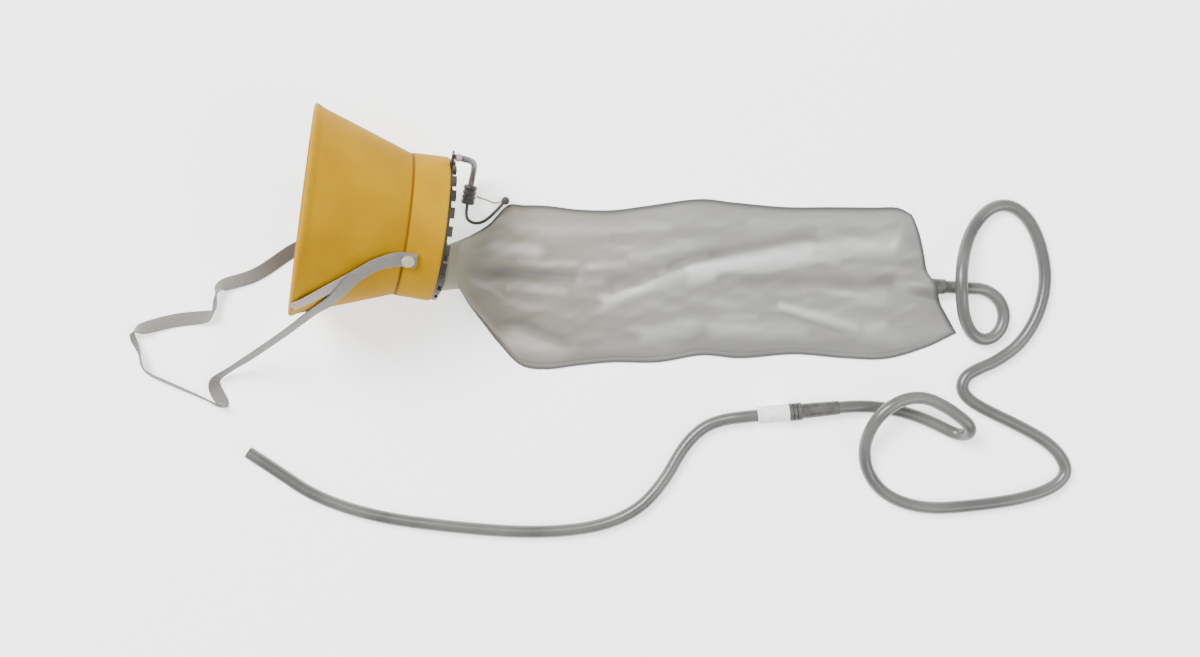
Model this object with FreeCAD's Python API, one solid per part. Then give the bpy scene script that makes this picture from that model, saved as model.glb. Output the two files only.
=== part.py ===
import FreeCAD, Part
import math
import os

# Passenger oxygen mask: a cone of yellow silicone with a valve plate in its small end,
# a reservoir bag on the plate's spigot, a supply hose with an in-line flow indicator,
# an elastic head strap and a pull lanyard. It lies on a table as it was put down.
# Millimetres. The floor is z = 0, +X runs along the bag from the mask towards the hose,
# and the origin is on the floor under the middle of the mask and bag.

os.makedirs("parts", exist_ok=True)
V = FreeCAD.Vector

# Facepiece
MOUTH_RADIUS = 56.0
CREASE_RADIUS = 37.6
BAND_END_RADIUS = 38.8
BELL_LENGTH = 53.0
BAND_LENGTH = 19.0
WALL = 2.0
RIM_ROUND = 1.5
RIM_FLAT = 1.3
BELL_HOLLOW = 0.5
BAND_EXTRA = 0.5
LEDGE_DEPTH = 2.6
LEDGE_LENGTH = 4.0

# How far a cutting solid runs past the faces that it cuts
CUT_CLEAR = 2.0
CUT_HEIGHT = 20.0

# How the mask lies
MOUTH_CENTRE_X = -171.6
MOUTH_CENTRE_Y = 14.3
YAW = -7.3
ROLL = 30.0

# Valve plate and guard
FIT_GAP = 0.05
PLATE_THICKNESS = 2.5
PLATE_DEPTH = 6.0
SEAT_HEIGHT = 0.5
SEAT_WIDTH = 1.1
VALVE_OPENING = 8.2
FLAP_CLEAR = 1.6
VALVE_INSET = 2.5
VALVE_ANGLE = 30.0
HUB_RADIUS = 2.6
SPOKE_WIDTH = 1.4
SPOKES = 4
FLAP_RADIUS = 9.6
FLAP_THICKNESS = 0.8
FLAP_STEM = 1.2
FLAP_BULB = 1.9
FLAP_EDGE = 0.4
BULB_LENGTH = 3.0
BULB_TIP = 1.0
STEM_GAP = 0.1
GUARD_WALL = 1.2
GUARD_FLANGE = 1.2
GUARD_INSET = 1.0
TOOTH_COUNT = 24
TOOTH_HEIGHT = 2.1
TOOTH_SHARE = 0.55
LUG_WIDTH = 5.0
LUG_LENGTH = 8.75
LUG_HOLE = 1.2

# Ambient valve
DISC_THICKNESS = 1.2
DISC_CHAMFER = 0.4
AMBIENT_STEM = 1.15
AMBIENT_CAP_RADIUS = 3.2
AMBIENT_CAP_THICKNESS = 1.0
CAP_CHAMFER = 0.4
SPRING_WIRE = 0.4
WIRE_SIDES = 6
COIL_STEPS = 14
SPRING_TURNS = 3.5
AMBIENT_SPRING_LENGTH = 4.4
AMBIENT_SPRING_RADIUS = 2.1

# Bag spigot, clamp and bag
SPIGOT_RADIUS = 11.5
SPIGOT_WALL = 1.6
SPIGOT_REACH = 8.0
NECK_FILM = 0.8
NECK_START = 3.7
CLAMP_WALL = 1.1
CLAMP_WIDTH = 2.6
CLAMP_SETBACK = 0.5
CLAMP_CHAMFER = 0.4
BAG_FLOOR = 0.1
SEAM_THICKNESS = 0.8
SEAM_INSIDE = 0.93
BAG_END_HOLLOW = 4.0
PILLOW_POWER = 0.65
FOLD_FADE_HEIGHT = 6.0
FILM_STEPS = 34
UNDER_STEPS = 8
BAG_STEP = 9.0

# Hose and its fitting on the bag
HOSE_DIAMETER = 7.0
HOSE_BORE = 4.8
HOSE_BORE_DEPTH = 9.0
STRAIGHT_OUT = 8.0
STRAIGHT_IN = 12.0
FITTING_X = 164.5
FITTING_Y = -23.6
FITTING_HEIGHT = 5.25
FITTING_TURN = -3.8
FITTING_RADIUS = 4.3
FITTING_LENGTH = 18.0
FITTING_COLLAR = 12.0
FITTING_STEP = 0.8
FITTING_FLARE = 0.2
FITTING_TENT = 26.0
FITTING_TENT_END = 2.0
TENT_LIFT = 0.2
TENT_SIDES = 16

# Flow indicator
INDICATOR_X = 72.1
INDICATOR_Y = -96.3
INDICATOR_TURN = 5.6
BARREL_RADIUS = 5.0
BARREL_LENGTH = 17.5
BARREL_WALL = 1.1
BARREL_END = 2.6
BARREL_OUTLET = 2.4
BARREL_CHAMFER = 0.7
BEZEL_RADIUS = 5.3
BEZEL_WIDTH = 2.4
FLOAT_LENGTH = 5.0
FLOAT_GAP = 0.3
FLOAT_NOSE = 1.2
SPRING_INSET = 0.9
INDICATOR_WIRE = 0.35
INDICATOR_TURNS = 5.0
SLEEVE_LENGTH = 28.0
SLEEVE_STEP = 7.0
SLEEVE_END_RADIUS = 3.9
SLEEVE_SHOULDER = 0.7
SLEEVE_GRIP_RINGS = 2
GROOVE_DEPTH = 0.5
GROOVE_HALF = 0.3

# Head strap and studs
STRAP_WIDTH = 7.7
STRAP_THICKNESS = 1.0
STUD_PAST_CREASE = 2.2
STUD_HEAD_RADIUS = 3.3
STUD_HEAD_HEIGHT = 1.5
HEAD_CROWN = 2.0
HEAD_SHOULDER = 1.25
HEAD_EDGE = 0.5
CLINCH_FLARE = 0.8
CLINCH_HEIGHT = 0.7
STUD_POST = 1.4
POST_GAP = 0.1
WASHER_RADIUS = 3.6
WASHER_THICKNESS = 1.2
LAYER_GAP = 0.3
FOLD_REACH = 0.6

# Lanyard
LANYARD_DIAMETER = 3.4
KNOB_RADIUS = 2.1
FERRULE_RADIUS = 3.9
FERRULE_LENGTH = 10.5
FERRULE_RIBS = 4
FERRULE_GROOVE = 0.6
FERRULE_STRAIGHT = 5.0
FILAMENT_GAP = 0.15
LOOP_DIAMETER = 1.8
FILAMENT_DIAMETER = 1.0
TIE_RADIUS = 2.3
TIE_PAST_CORNER = (-0.9, 2.6)
TIE_LIFT = 0.1

# Worked out from the sizes above
CUP_LENGTH = BELL_LENGTH + BAND_LENGTH
PLATE_BACK = CUP_LENGTH - PLATE_DEPTH
PLATE_FRONT = PLATE_BACK + PLATE_THICKNESS
STUD_AXIAL = BELL_LENGTH + STUD_PAST_CREASE
SEAT_RADIUS = BAND_END_RADIUS - WALL - BAND_EXTRA
PLATE_RADIUS = SEAT_RADIUS - FIT_GAP
LEDGE_RADIUS = SEAT_RADIUS - LEDGE_DEPTH
PORT_OFFSET = LEDGE_RADIUS - FLAP_RADIUS - FLAP_CLEAR
VALVE_SPACING = PORT_OFFSET - VALVE_INSET
GUARD_RADIUS = BAND_END_RADIUS - GUARD_INSET
LUG_REACH = PLATE_RADIUS + LUG_LENGTH
HOSE_RADIUS = HOSE_DIAMETER / 2
TOOTH_TOP = CUP_LENGTH + FIT_GAP + GUARD_FLANGE + TOOTH_HEIGHT
SPIGOT_END = CUP_LENGTH + SPIGOT_REACH
NECK_BACK = CUP_LENGTH + NECK_START
NECK_RADIUS = SPIGOT_RADIUS + FIT_GAP + NECK_FILM


def resting_tilt():
    """Tilt of the mask's axis when the mouth rim and the band's end both touch the floor."""
    drop = MOUTH_RADIUS - RIM_ROUND - BAND_END_RADIUS
    run = CUP_LENGTH - RIM_ROUND
    return math.degrees(math.atan2(drop, run) + math.asin(RIM_ROUND / math.hypot(drop, run)))


TILT = resting_tilt()
MOUTH_CENTRE_Z = (CUP_LENGTH * math.sin(math.radians(TILT))
                  + BAND_END_RADIUS * math.cos(math.radians(TILT)))
TURNED = (FreeCAD.Rotation(V(0, 0, 1), YAW)
          * FreeCAD.Rotation(V(0, 1, 0), 90 + TILT)
          * FreeCAD.Rotation(V(0, 0, 1), ROLL))
ON_MASK = FreeCAD.Placement(V(MOUTH_CENTRE_X, MOUTH_CENTRE_Y, MOUTH_CENTRE_Z), TURNED)
INDICATOR_DIRECTION = V(math.cos(math.radians(INDICATOR_TURN)),
                        math.sin(math.radians(INDICATOR_TURN)), 0)
ON_INDICATOR = FreeCAD.Placement(
    V(INDICATOR_X, INDICATOR_Y, BEZEL_RADIUS),
    FreeCAD.Rotation(V(0, 0, 1), INDICATOR_TURN) * FreeCAD.Rotation(V(0, 1, 0), 90))

shapes = {}


def keep(name, shape, placement=None):
    """Put a finished solid in its place and store it under its node's name."""
    solid = shape.copy()
    if placement is not None:
        solid.Placement = placement.multiply(solid.Placement)
    shapes[name] = solid
    return solid


def turned(points):
    """Revolve a closed outline of (radius, height) points about the Z axis."""
    corners = [V(radius, 0, height) for radius, height in points]
    corners.append(corners[0])
    face = Part.Face(Part.makePolygon(corners))
    return face.revolve(V(0, 0, 0), V(0, 0, 1), 360)


def disc(radius, bottom, top, x=0.0, y=0.0):
    return Part.makeCylinder(radius, top - bottom, V(x, y, bottom))


def ring(outer, inner, bottom, top, x=0.0, y=0.0):
    hole = disc(inner, bottom - CUT_CLEAR, top + CUT_CLEAR, x, y)
    return disc(outer, bottom, top, x, y).cut(hole)


def local_direction(angle):
    return V(math.cos(math.radians(angle)), math.sin(math.radians(angle)), 0)


def rounded_path(points):
    """Straight runs joined by tangent arcs, each as large as its two runs allow."""
    edges = []
    radii = []
    start = points[0]
    for before, corner, after in zip(points, points[1:], points[2:]):
        into = corner - before
        out = after - corner
        turn = into.getAngle(out)
        trim = 0.45 * min(into.Length, out.Length)
        radius = trim / math.tan(turn / 2)
        into.normalize()
        out.normalize()
        middle = (out - into).normalize()
        arc_start = corner - into * trim
        arc_end = corner + out * trim
        arc_middle = corner + middle * (radius / math.cos(turn / 2) - radius)
        edges.append(Part.LineSegment(start, arc_start).toShape())
        edges.append(Part.Arc(arc_start, arc_middle, arc_end).toShape())
        radii.append(round(radius, 1))
        start = arc_end
    edges.append(Part.LineSegment(start, points[-1]).toShape())
    return Part.Wire(edges), radii


def tube(name, points, diameter):
    """A round solid along a rounded path, with its volume held against its length."""
    path, radii = rounded_path(points)
    circle = Part.makeCircle(diameter / 2, points[0], points[1] - points[0])
    solid = path.makePipeShell([Part.Wire([circle])], True, False)
    expected = math.pi * diameter ** 2 / 4 * path.Length
    print(name, "length %.1f" % path.Length, "volume ratio %.4f" % (solid.Volume / expected),
          "valid", solid.isValid(), "radii", radii)
    return solid


# Facepiece: one silicone moulding, a bell with a flat lip and a short band
def make_facepiece():
    slope = (MOUTH_RADIUS - CREASE_RADIUS) / BELL_LENGTH
    thick = WALL * math.hypot(1, slope)
    lip_inner = MOUTH_RADIUS - RIM_ROUND - RIM_FLAT
    bell_start = 2 * RIM_ROUND
    bell_outer = MOUTH_RADIUS - slope * bell_start
    bell_middle = (bell_outer + CREASE_RADIUS) / 2 - BELL_HOLLOW
    middle_height = (bell_start + BELL_LENGTH) / 2
    rim_chord = 1 - math.cos(math.radians(30))
    outside = [
        (lip_inner, 0),
        (MOUTH_RADIUS - RIM_ROUND, 0),
        (MOUTH_RADIUS - RIM_ROUND / 2, RIM_ROUND * rim_chord),
        (MOUTH_RADIUS - RIM_ROUND * rim_chord, RIM_ROUND / 2),
        (MOUTH_RADIUS, RIM_ROUND),
        (bell_outer, bell_start),
        (bell_middle, middle_height),
        (CREASE_RADIUS, BELL_LENGTH),
        (BAND_END_RADIUS, CUP_LENGTH),
    ]
    inside = [
        (SEAT_RADIUS, CUP_LENGTH),
        (SEAT_RADIUS, PLATE_BACK),
        (LEDGE_RADIUS, PLATE_BACK),
        (LEDGE_RADIUS, PLATE_BACK - LEDGE_LENGTH / 2),
        (CREASE_RADIUS - WALL, PLATE_BACK - LEDGE_LENGTH),
        (CREASE_RADIUS - thick, BELL_LENGTH),
        (bell_middle - thick, middle_height),
        (bell_outer - thick, bell_start),
    ]
    cup = turned(outside + inside)
    for side in (-1, 1):
        hole = Part.makeCylinder(STUD_POST + POST_GAP, MOUTH_RADIUS, V(0, 0, STUD_AXIAL),
                                 V(side, 0, 0))
        cup = cup.cut(hole)
    return cup


keep("facepiece", make_facepiece(), ON_MASK)


# Valve plate: three spoked valve seats in one disc, with the bag spigot on its front
PORT = V(0, -PORT_OFFSET, 0)
AMBIENT = local_direction(VALVE_ANGLE) * VALVE_SPACING
EXHALE = local_direction(180 - VALVE_ANGLE) * VALVE_SPACING


def spoked_opening(centre, stem_hole):
    """The gaps round one valve's hub: the opening less its hub and spokes."""
    bottom = PLATE_BACK - CUT_CLEAR
    top = PLATE_FRONT + CUT_CLEAR
    opening = disc(VALVE_OPENING, bottom, top, centre.x, centre.y)
    opening = opening.cut(disc(HUB_RADIUS, bottom, top, centre.x, centre.y))
    for index in range(SPOKES):
        spoke = Part.makeBox(VALVE_OPENING + CUT_CLEAR, SPOKE_WIDTH, top - bottom,
                             V(0, -SPOKE_WIDTH / 2, bottom))
        spoke.rotate(V(0, 0, 0), V(0, 0, 1), 45 + index * 360 / SPOKES)
        spoke.translate(centre)
        opening = opening.cut(spoke)
    return opening.fuse(disc(stem_hole, bottom, top, centre.x, centre.y))


def make_valve_plate():
    plate = disc(PLATE_RADIUS, PLATE_BACK + FIT_GAP, PLATE_FRONT)
    seat_outer = VALVE_OPENING + SEAT_WIDTH
    spigot = ring(SPIGOT_RADIUS, SPIGOT_RADIUS - SPIGOT_WALL, PLATE_FRONT, SPIGOT_END,
                  PORT.x, PORT.y)
    front_seat = ring(seat_outer, VALVE_OPENING, PLATE_FRONT, PLATE_FRONT + SEAT_HEIGHT,
                      EXHALE.x, EXHALE.y)
    plate = plate.fuse([spigot, front_seat])
    plate = plate.cut(spoked_opening(PORT, FLAP_STEM + STEM_GAP))
    plate = plate.cut(spoked_opening(EXHALE, FLAP_STEM + STEM_GAP))
    plate = plate.cut(spoked_opening(AMBIENT, AMBIENT_STEM + STEM_GAP))
    return plate.removeSplitter()


keep("valve_plate", make_valve_plate(), ON_MASK)


# Guard: black ring that holds the plate in the band, toothed all round its front
def make_guard():
    foot = ring(PLATE_RADIUS, PLATE_RADIUS - GUARD_WALL, PLATE_FRONT, CUP_LENGTH + FIT_GAP)
    flange_top = CUP_LENGTH + FIT_GAP + GUARD_FLANGE
    flange = ring(GUARD_RADIUS, PLATE_RADIUS - GUARD_WALL, CUP_LENGTH + FIT_GAP, flange_top)
    guard = foot.fuse(flange)
    pitch = 360.0 / TOOTH_COUNT
    for index in range(TOOTH_COUNT):
        tooth = Part.makeCylinder(GUARD_RADIUS, TOOTH_HEIGHT, V(0, 0, flange_top), V(0, 0, 1),
                                  pitch * TOOTH_SHARE)
        tooth.rotate(V(0, 0, 0), V(0, 0, 1), index * pitch)
        core = disc(PLATE_RADIUS - GUARD_WALL, flange_top - CUT_CLEAR, TOOTH_TOP + CUT_CLEAR)
        guard = guard.fuse(tooth.cut(core))
    lug = Part.makeBox(LUG_WIDTH, LUG_REACH - PLATE_RADIUS, GUARD_FLANGE,
                       V(-LUG_WIDTH / 2, PLATE_RADIUS, CUP_LENGTH + FIT_GAP))
    guard = guard.fuse(lug)
    lug_hole = disc(LUG_HOLE, CUP_LENGTH - CUT_CLEAR, TOOTH_TOP + CUT_CLEAR,
                    0, LUG_REACH - 2 * LUG_HOLE)
    return guard.cut(lug_hole).removeSplitter()


keep("valve_guard", make_guard(), ON_MASK)


# Silicone flaps: thin discs, each held by its own stem pulled through the hub
def make_flap(centre, face, side):
    """A flap whose disc lies at height face, on the given side, with its stem through the plate."""
    far_face = PLATE_BACK if side > 0 else PLATE_FRONT + FIT_GAP
    reach = abs(far_face - face) + FIT_GAP
    points = [
        (0, FLAP_THICKNESS),
        (FLAP_RADIUS, FLAP_EDGE),
        (FLAP_RADIUS, 0),
        (FLAP_STEM, 0),
        (FLAP_STEM, -reach),
        (FLAP_BULB, -reach),
        (BULB_TIP, -reach - BULB_LENGTH),
        (0, -reach - BULB_LENGTH),
    ]
    flap = turned(points)
    if side < 0:
        flap.rotate(V(0, 0, 0), V(1, 0, 0), 180)
    flap.translate(V(centre.x, centre.y, face))
    return flap


keep("exhalation_flap", make_flap(EXHALE, PLATE_FRONT + SEAT_HEIGHT + FIT_GAP, 1), ON_MASK)
keep("inhalation_flap", make_flap(PORT, PLATE_BACK, -1), ON_MASK)


# Ambient valve: a sprung disc that lifts inwards when the bag is empty
AMBIENT_SPRING_FOOT = PLATE_FRONT + FIT_GAP
AMBIENT_CAP_FOOT = AMBIENT_SPRING_FOOT + AMBIENT_SPRING_LENGTH + FIT_GAP


def make_coil(radius, wire, length, turns):
    """A coil of wire from z = 0 to z = length, lofted through six-sided wire sections."""
    steps = round(turns * COIL_STEPS)
    sections = []
    for step in range(steps + 1):
        angle = 360 * turns * step / steps
        outward = local_direction(angle)
        height = wire / 2 + (length - wire) * step / steps
        corners = []
        for side in range(WIRE_SIDES):
            around = math.radians(360 / WIRE_SIDES * (side + 0.5))
            reach = radius + wire / 2 * math.cos(around)
            corners.append(outward * reach + V(0, 0, height + wire / 2 * math.sin(around)))
        sections.append(Part.makePolygon(corners + [corners[0]]))
    return Part.makeLoft(sections, True, True)


def make_ambient_disc():
    top = AMBIENT_CAP_FOOT
    back = PLATE_BACK
    points = [
        (0, back - DISC_THICKNESS),
        (FLAP_RADIUS - DISC_CHAMFER, back - DISC_THICKNESS),
        (FLAP_RADIUS, back - DISC_THICKNESS + DISC_CHAMFER),
        (FLAP_RADIUS, back),
        (AMBIENT_STEM, back),
        (AMBIENT_STEM, top),
        (0, top),
    ]
    valve = turned(points)
    valve.translate(AMBIENT)
    return valve


def make_ambient_cap():
    top = AMBIENT_CAP_FOOT + AMBIENT_CAP_THICKNESS
    points = [
        (0, AMBIENT_CAP_FOOT),
        (AMBIENT_CAP_RADIUS, AMBIENT_CAP_FOOT),
        (AMBIENT_CAP_RADIUS, top - CAP_CHAMFER),
        (AMBIENT_CAP_RADIUS - CAP_CHAMFER, top),
        (0, top),
    ]
    cap = turned(points)
    cap.translate(AMBIENT)
    return cap


keep("ambient_valve", make_ambient_disc(), ON_MASK)
keep("ambient_valve_cap", make_ambient_cap(), ON_MASK)
coil = make_coil(AMBIENT_SPRING_RADIUS, SPRING_WIRE, AMBIENT_SPRING_LENGTH, SPRING_TURNS)
coil.translate(V(AMBIENT.x, AMBIENT.y, AMBIENT_SPRING_FOOT))
keep("ambient_spring", coil, ON_MASK)


# Clamp ring that holds the bag's neck on the spigot
def make_clamp():
    inner = NECK_RADIUS + SEAM_THICKNESS / 2 + LAYER_GAP
    outer = inner + CLAMP_WALL
    bottom = NECK_BACK + CLAMP_SETBACK
    top = bottom + CLAMP_WIDTH
    points = [(inner, bottom), (outer - CLAMP_CHAMFER, bottom), (outer, bottom + CLAMP_CHAMFER),
              (outer, top - CLAMP_CHAMFER), (outer - CLAMP_CHAMFER, top), (inner, top)]
    clamp = turned(points)
    clamp.translate(PORT)
    return clamp


keep("bag_clamp", make_clamp(), ON_MASK)


# Reservoir bag: one sealed film pillow, drawn together at its neck and lying in long folds.
# Each station gives the far seam, the near seam, the height of the film above the floor
# or the neck's underside, the height of that underside, and how slack the film is.
BAG_STATIONS = [
    ((-91.0, 1.2), (-92.6, -26.0), 23.0, 9.0, 0.0),
    ((-85.8, 4.7), (-88.0, -35.0), 22.0, 3.0, 0.25),
    ((-77.5, 10.9), (-80.8, -45.2), 19.0, 0.6, 0.6),
    ((-67.9, 21.3), (-72.4, -56.4), 15.5, 0.0, 1.0),
    ((-58.2, 21.6), (-60.7, -68.2), 13.5, 0.0, 1.0),
    ((-45.0, 21.2), (-46.5, -70.7), 12.5, 0.0, 1.0),
    ((-28.3, 19.2), (-28.3, -68.6), 12.0, 0.0, 1.0),
    ((-9.1, 18.8), (-8.5, -66.8), 11.5, 0.0, 1.0),
    ((10.4, 21.2), (16.5, -66.8), 11.0, 0.0, 1.0),
    ((39.2, 25.0), (41.3, -62.9), 10.5, 0.0, 1.0),
    ((60.0, 23.1), (63.5, -64.5), 10.5, 0.0, 1.0),
    ((87.7, 20.6), (93.0, -62.3), 10.0, 0.0, 1.0),
    ((114.9, 20.5), (121.6, -64.5), 9.5, 0.0, 1.0),
    ((136.6, 20.3), (144.7, -64.8), 8.5, 0.0, 1.0),
    ((151.0, 20.2), (167.0, -58.5), 5.5, 0.0, 1.0),
    ((159.3, 16.4), (184.4, -50.3), 0.4, 0.0, 1.0),
]
# Main folds of the upper film: both ends, half width, and height of the ridge or, where it is
# less than 0, depth of the valley
BAG_FOLDS = [
    ((23.0, -13.0), (56.0, -3.5), 3.5, -1.8), ((56.0, -3.5), (104.0, 4.6), 3.5, -1.8),
    ((36.0, -16.0), (100.0, -5.0), 6.0, 2.2), ((100.0, -5.0), (146.0, 0.0), 6.0, 1.4),
    ((-12.0, -33.0), (14.0, -23.0), 3.5, 1.6), ((14.0, -23.0), (36.0, -16.0), 4.0, 1.2),
    ((-8.0, -22.0), (23.0, -13.0), 4.0, -1.2), ((-88.0, -15.9), (-30.0, -19.5), 3.0, -1.6),
    ((-78.0, -43.0), (-56.0, -46.0), 3.5, -2.0), ((-56.0, -46.0), (-36.0, -56.0), 3.5, -2.0),
    ((-66.0, -56.0), (-38.0, -62.0), 6.5, 2.2), ((86.0, -36.0), (126.0, -47.5), 3.0, 1.6),
    ((52.0, -21.0), (146.0, -21.5), 4.0, -1.4), ((10.0, -53.0), (34.0, -49.0), 5.0, 1.4),
    ((48.0, -49.0), (96.0, -51.0), 4.0, 1.3), ((-60.0, 8.0), (20.0, 10.0), 5.0, 1.0),
    ((-74.0, -2.0), (-52.0, -5.0), 5.0, 1.2), ((70.0, 12.5), (146.0, 13.5), 4.0, 1.2),
    ((134.0, -50.0), (150.0, -54.0), 5.0, 1.0),
]
ACROSS = [math.cos(math.pi * step / FILM_STEPS) for step in range(FILM_STEPS + 1)]
ACROSS_UNDER = [math.cos(math.pi * step / UNDER_STEPS) for step in range(UNDER_STEPS + 1)]


def fold_height(x, y):
    """The sum over the folds of height times exp(-(distance / half width) squared)."""
    total = 0.0
    place = V(x, y, 0)
    for first, last, width, size in BAG_FOLDS:
        start = V(first[0], first[1], 0)
        run = V(last[0], last[1], 0) - start
        share = min(max((place - start).dot(run) / run.Length ** 2, 0.0), 1.0)
        total += size * math.exp(-((place - start - run * share).Length / width) ** 2)
    return total


def film_height(place, across, height, slack):
    """Height of the upper film: a pillow between the seams with the main folds on it."""
    inside = max(0.0, 1 - (across / SEAM_INSIDE) ** 2)
    fade = inside * slack * min(1.0, height / FOLD_FADE_HEIGHT)
    return height * inside ** PILLOW_POWER + fold_height(place.x, place.y) * fade


def film_section(upper, lower):
    """A closed section of short straight edges: upper film, near seam, lower film, far seam."""
    return Part.makePolygon(upper + lower[::-1] + [upper[0]])


def neck_section(axial, radius):
    """A round section of the neck, square to the spigot's axis."""
    centre = ON_MASK.multVec(V(PORT.x, PORT.y, axial))
    ahead = ON_MASK.multVec(V(PORT.x, PORT.y, axial + 1)) - centre
    side = V(0, 0, 1).cross(ahead).normalize()
    up = ahead.cross(side).normalize()
    upper = []
    lower = []
    for shares, film, sign in ((ACROSS, upper, 1), (ACROSS_UNDER, lower, -1)):
        for s in shares:
            rise = radius * math.sqrt(max(0.0, 1 - s * s)) + SEAM_THICKNESS / 2
            film.append(centre + side * (s * radius) + up * (rise * sign))
    return film_section(upper, lower)


def bag_section(far, near, height, under, slack):
    """A section of the pillow; with no slack it is oval, and with full slack it lies flat."""
    far_seam = V(far[0], far[1], 0)
    near_seam = V(near[0], near[1], 0)
    centre = (far_seam + near_seam) * 0.5
    half = (far_seam - near_seam) * 0.5
    half_height = height / 2
    upper = []
    lower = []
    for s in ACROSS:
        place = centre + half * s
        bulge = half_height * math.sqrt(max(0.0, 1 - s * s))
        flat_top = film_height(place, s, height, slack)
        top = (1 - slack) * (half_height + bulge) + slack * flat_top + SEAM_THICKNESS
        upper.append(V(place.x, place.y, BAG_FLOOR + under + top))
    for s in ACROSS_UNDER:
        place = centre + half * s
        bulge = half_height * math.sqrt(max(0.0, 1 - s * s))
        bottom = (1 - slack) * (half_height - bulge)
        lower.append(V(place.x, place.y, BAG_FLOOR + under + bottom))
    return film_section(upper, lower)


def tent_ring(centre, way, radius):
    """A many-sided ring square to the fitting, where the film tents over it."""
    side = V(0, 0, 1).cross(way).normalize()
    corners = []
    for step in range(TENT_SIDES + 1):
        around = math.radians(360 / TENT_SIDES * step)
        corners.append(centre + side * (radius * math.cos(around))
                       + V(0, 0, radius * math.sin(around)))
    return Part.makePolygon(corners)


def mixed(first, second, share):
    """A value, or a pair of values, part of the way from the first to the second."""
    if isinstance(first, tuple):
        return tuple(mixed(a, b, share) for a, b in zip(first, second))
    return first + (second - first) * share


def bag_sections():
    """The sections at the stations, and at even steps between those that stand far apart."""
    sections = [bag_section(*BAG_STATIONS[0])]
    for first, second in zip(BAG_STATIONS, BAG_STATIONS[1:]):
        steps = max(1, round(abs(second[0][0] - first[0][0]) / BAG_STEP))
        for step in range(steps):
            sections.append(bag_section(*mixed(first, second, (step + 1) / steps)))
    return sections


def make_bag():
    neck = [neck_section(NECK_BACK, NECK_RADIUS), neck_section(SPIGOT_END, NECK_RADIUS)]
    sections = neck + bag_sections()
    bag = Part.makeLoft(sections, True, True)
    far, near = (V(seam[0], seam[1], -CUT_CLEAR) for seam in BAG_STATIONS[-1][:2])
    chord = (far - near).Length
    reach = (chord ** 2 / 4 + BAG_END_HOLLOW ** 2) / (2 * BAG_END_HOLLOW)
    outward = V(0, 0, 1).cross(near - far).normalize()
    hollow_centre = (far + near) * 0.5 + outward * (reach - BAG_END_HOLLOW)
    bag = bag.cut(Part.makeCylinder(reach, CUT_HEIGHT, hollow_centre))
    start = V(FITTING_X, FITTING_Y, FITTING_HEIGHT)
    way = local_direction(FITTING_TURN)
    weld_end = start + way * (FITTING_COLLAR / 2)
    tent_start = start - way * FITTING_TENT
    tent_start.z = BAG_FLOOR + FITTING_TENT_END + TENT_LIFT
    full = FITTING_HEIGHT - BAG_FLOOR
    weld = Part.makeLoft([tent_ring(tent_start, way, FITTING_TENT_END),
                          tent_ring(start, way, full),
                          tent_ring(weld_end, way, full)], True, True)
    bag = bag.fuse(weld)
    bag = bag.cut(Part.makeCylinder(FITTING_RADIUS + FIT_GAP, FITTING_COLLAR, start - way * FIT_GAP,
                                    way))
    bore = Part.makeCylinder(SPIGOT_RADIUS + FIT_GAP, SPIGOT_END + FIT_GAP - NECK_BACK + CUT_CLEAR,
                             V(PORT.x, PORT.y, NECK_BACK - CUT_CLEAR))
    bore.Placement = ON_MASK.multiply(bore.Placement)
    return bag.cut(bore)


keep("reservoir_bag", make_bag())


# Fitting welded into the bag's far end, which the hose is pushed on
FITTING_DIRECTION = local_direction(FITTING_TURN)
FITTING_START = V(FITTING_X, FITTING_Y, FITTING_HEIGHT)
FITTING_END = FITTING_START + FITTING_DIRECTION * FITTING_LENGTH


def make_fitting():
    points = [
        (0, 0),
        (FITTING_RADIUS, 0),
        (FITTING_RADIUS, FITTING_COLLAR),
        (FITTING_RADIUS - FITTING_STEP, FITTING_COLLAR),
        (HOSE_RADIUS + FITTING_FLARE, FITTING_LENGTH),
        (0, FITTING_LENGTH),
    ]
    fitting = turned(points)
    fitting.Placement = FreeCAD.Placement(FITTING_START, FreeCAD.Rotation(V(0, 0, 1),
                                                                          FITTING_DIRECTION))
    return fitting


keep("bag_fitting", make_fitting())


# Flow indicator: a milky barrel with a sprung float, and a dark grip sleeve towards the bag
SLEEVE_START = BARREL_LENGTH + FIT_GAP
SLEEVE_FAR = SLEEVE_START + SLEEVE_LENGTH
FLOAT_RADIUS = BARREL_RADIUS - BARREL_WALL - FLOAT_GAP
FLOAT_START = BARREL_END + FIT_GAP
INDICATOR_SPRING_START = FLOAT_START + FLOAT_LENGTH + FIT_GAP
INDICATOR_SPRING_LENGTH = BARREL_LENGTH - INDICATOR_SPRING_START - FIT_GAP


def make_barrel():
    bore = BARREL_RADIUS - BARREL_WALL
    bezel_start = BARREL_LENGTH - BEZEL_WIDTH
    return turned([
        (BARREL_OUTLET, 0), (BARREL_RADIUS - BARREL_CHAMFER, 0), (BARREL_RADIUS, BARREL_CHAMFER),
        (BARREL_RADIUS, bezel_start), (BEZEL_RADIUS, bezel_start),
        (BEZEL_RADIUS, BARREL_LENGTH), (bore, BARREL_LENGTH),
        (bore, BARREL_END), (BARREL_OUTLET, BARREL_END),
    ])


def make_float():
    end = FLOAT_START + FLOAT_LENGTH
    return turned([
        (0, FLOAT_START), (FLOAT_RADIUS - FLOAT_NOSE, FLOAT_START),
        (FLOAT_RADIUS, FLOAT_START + FLOAT_NOSE), (FLOAT_RADIUS, end), (0, end),
    ])


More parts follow.
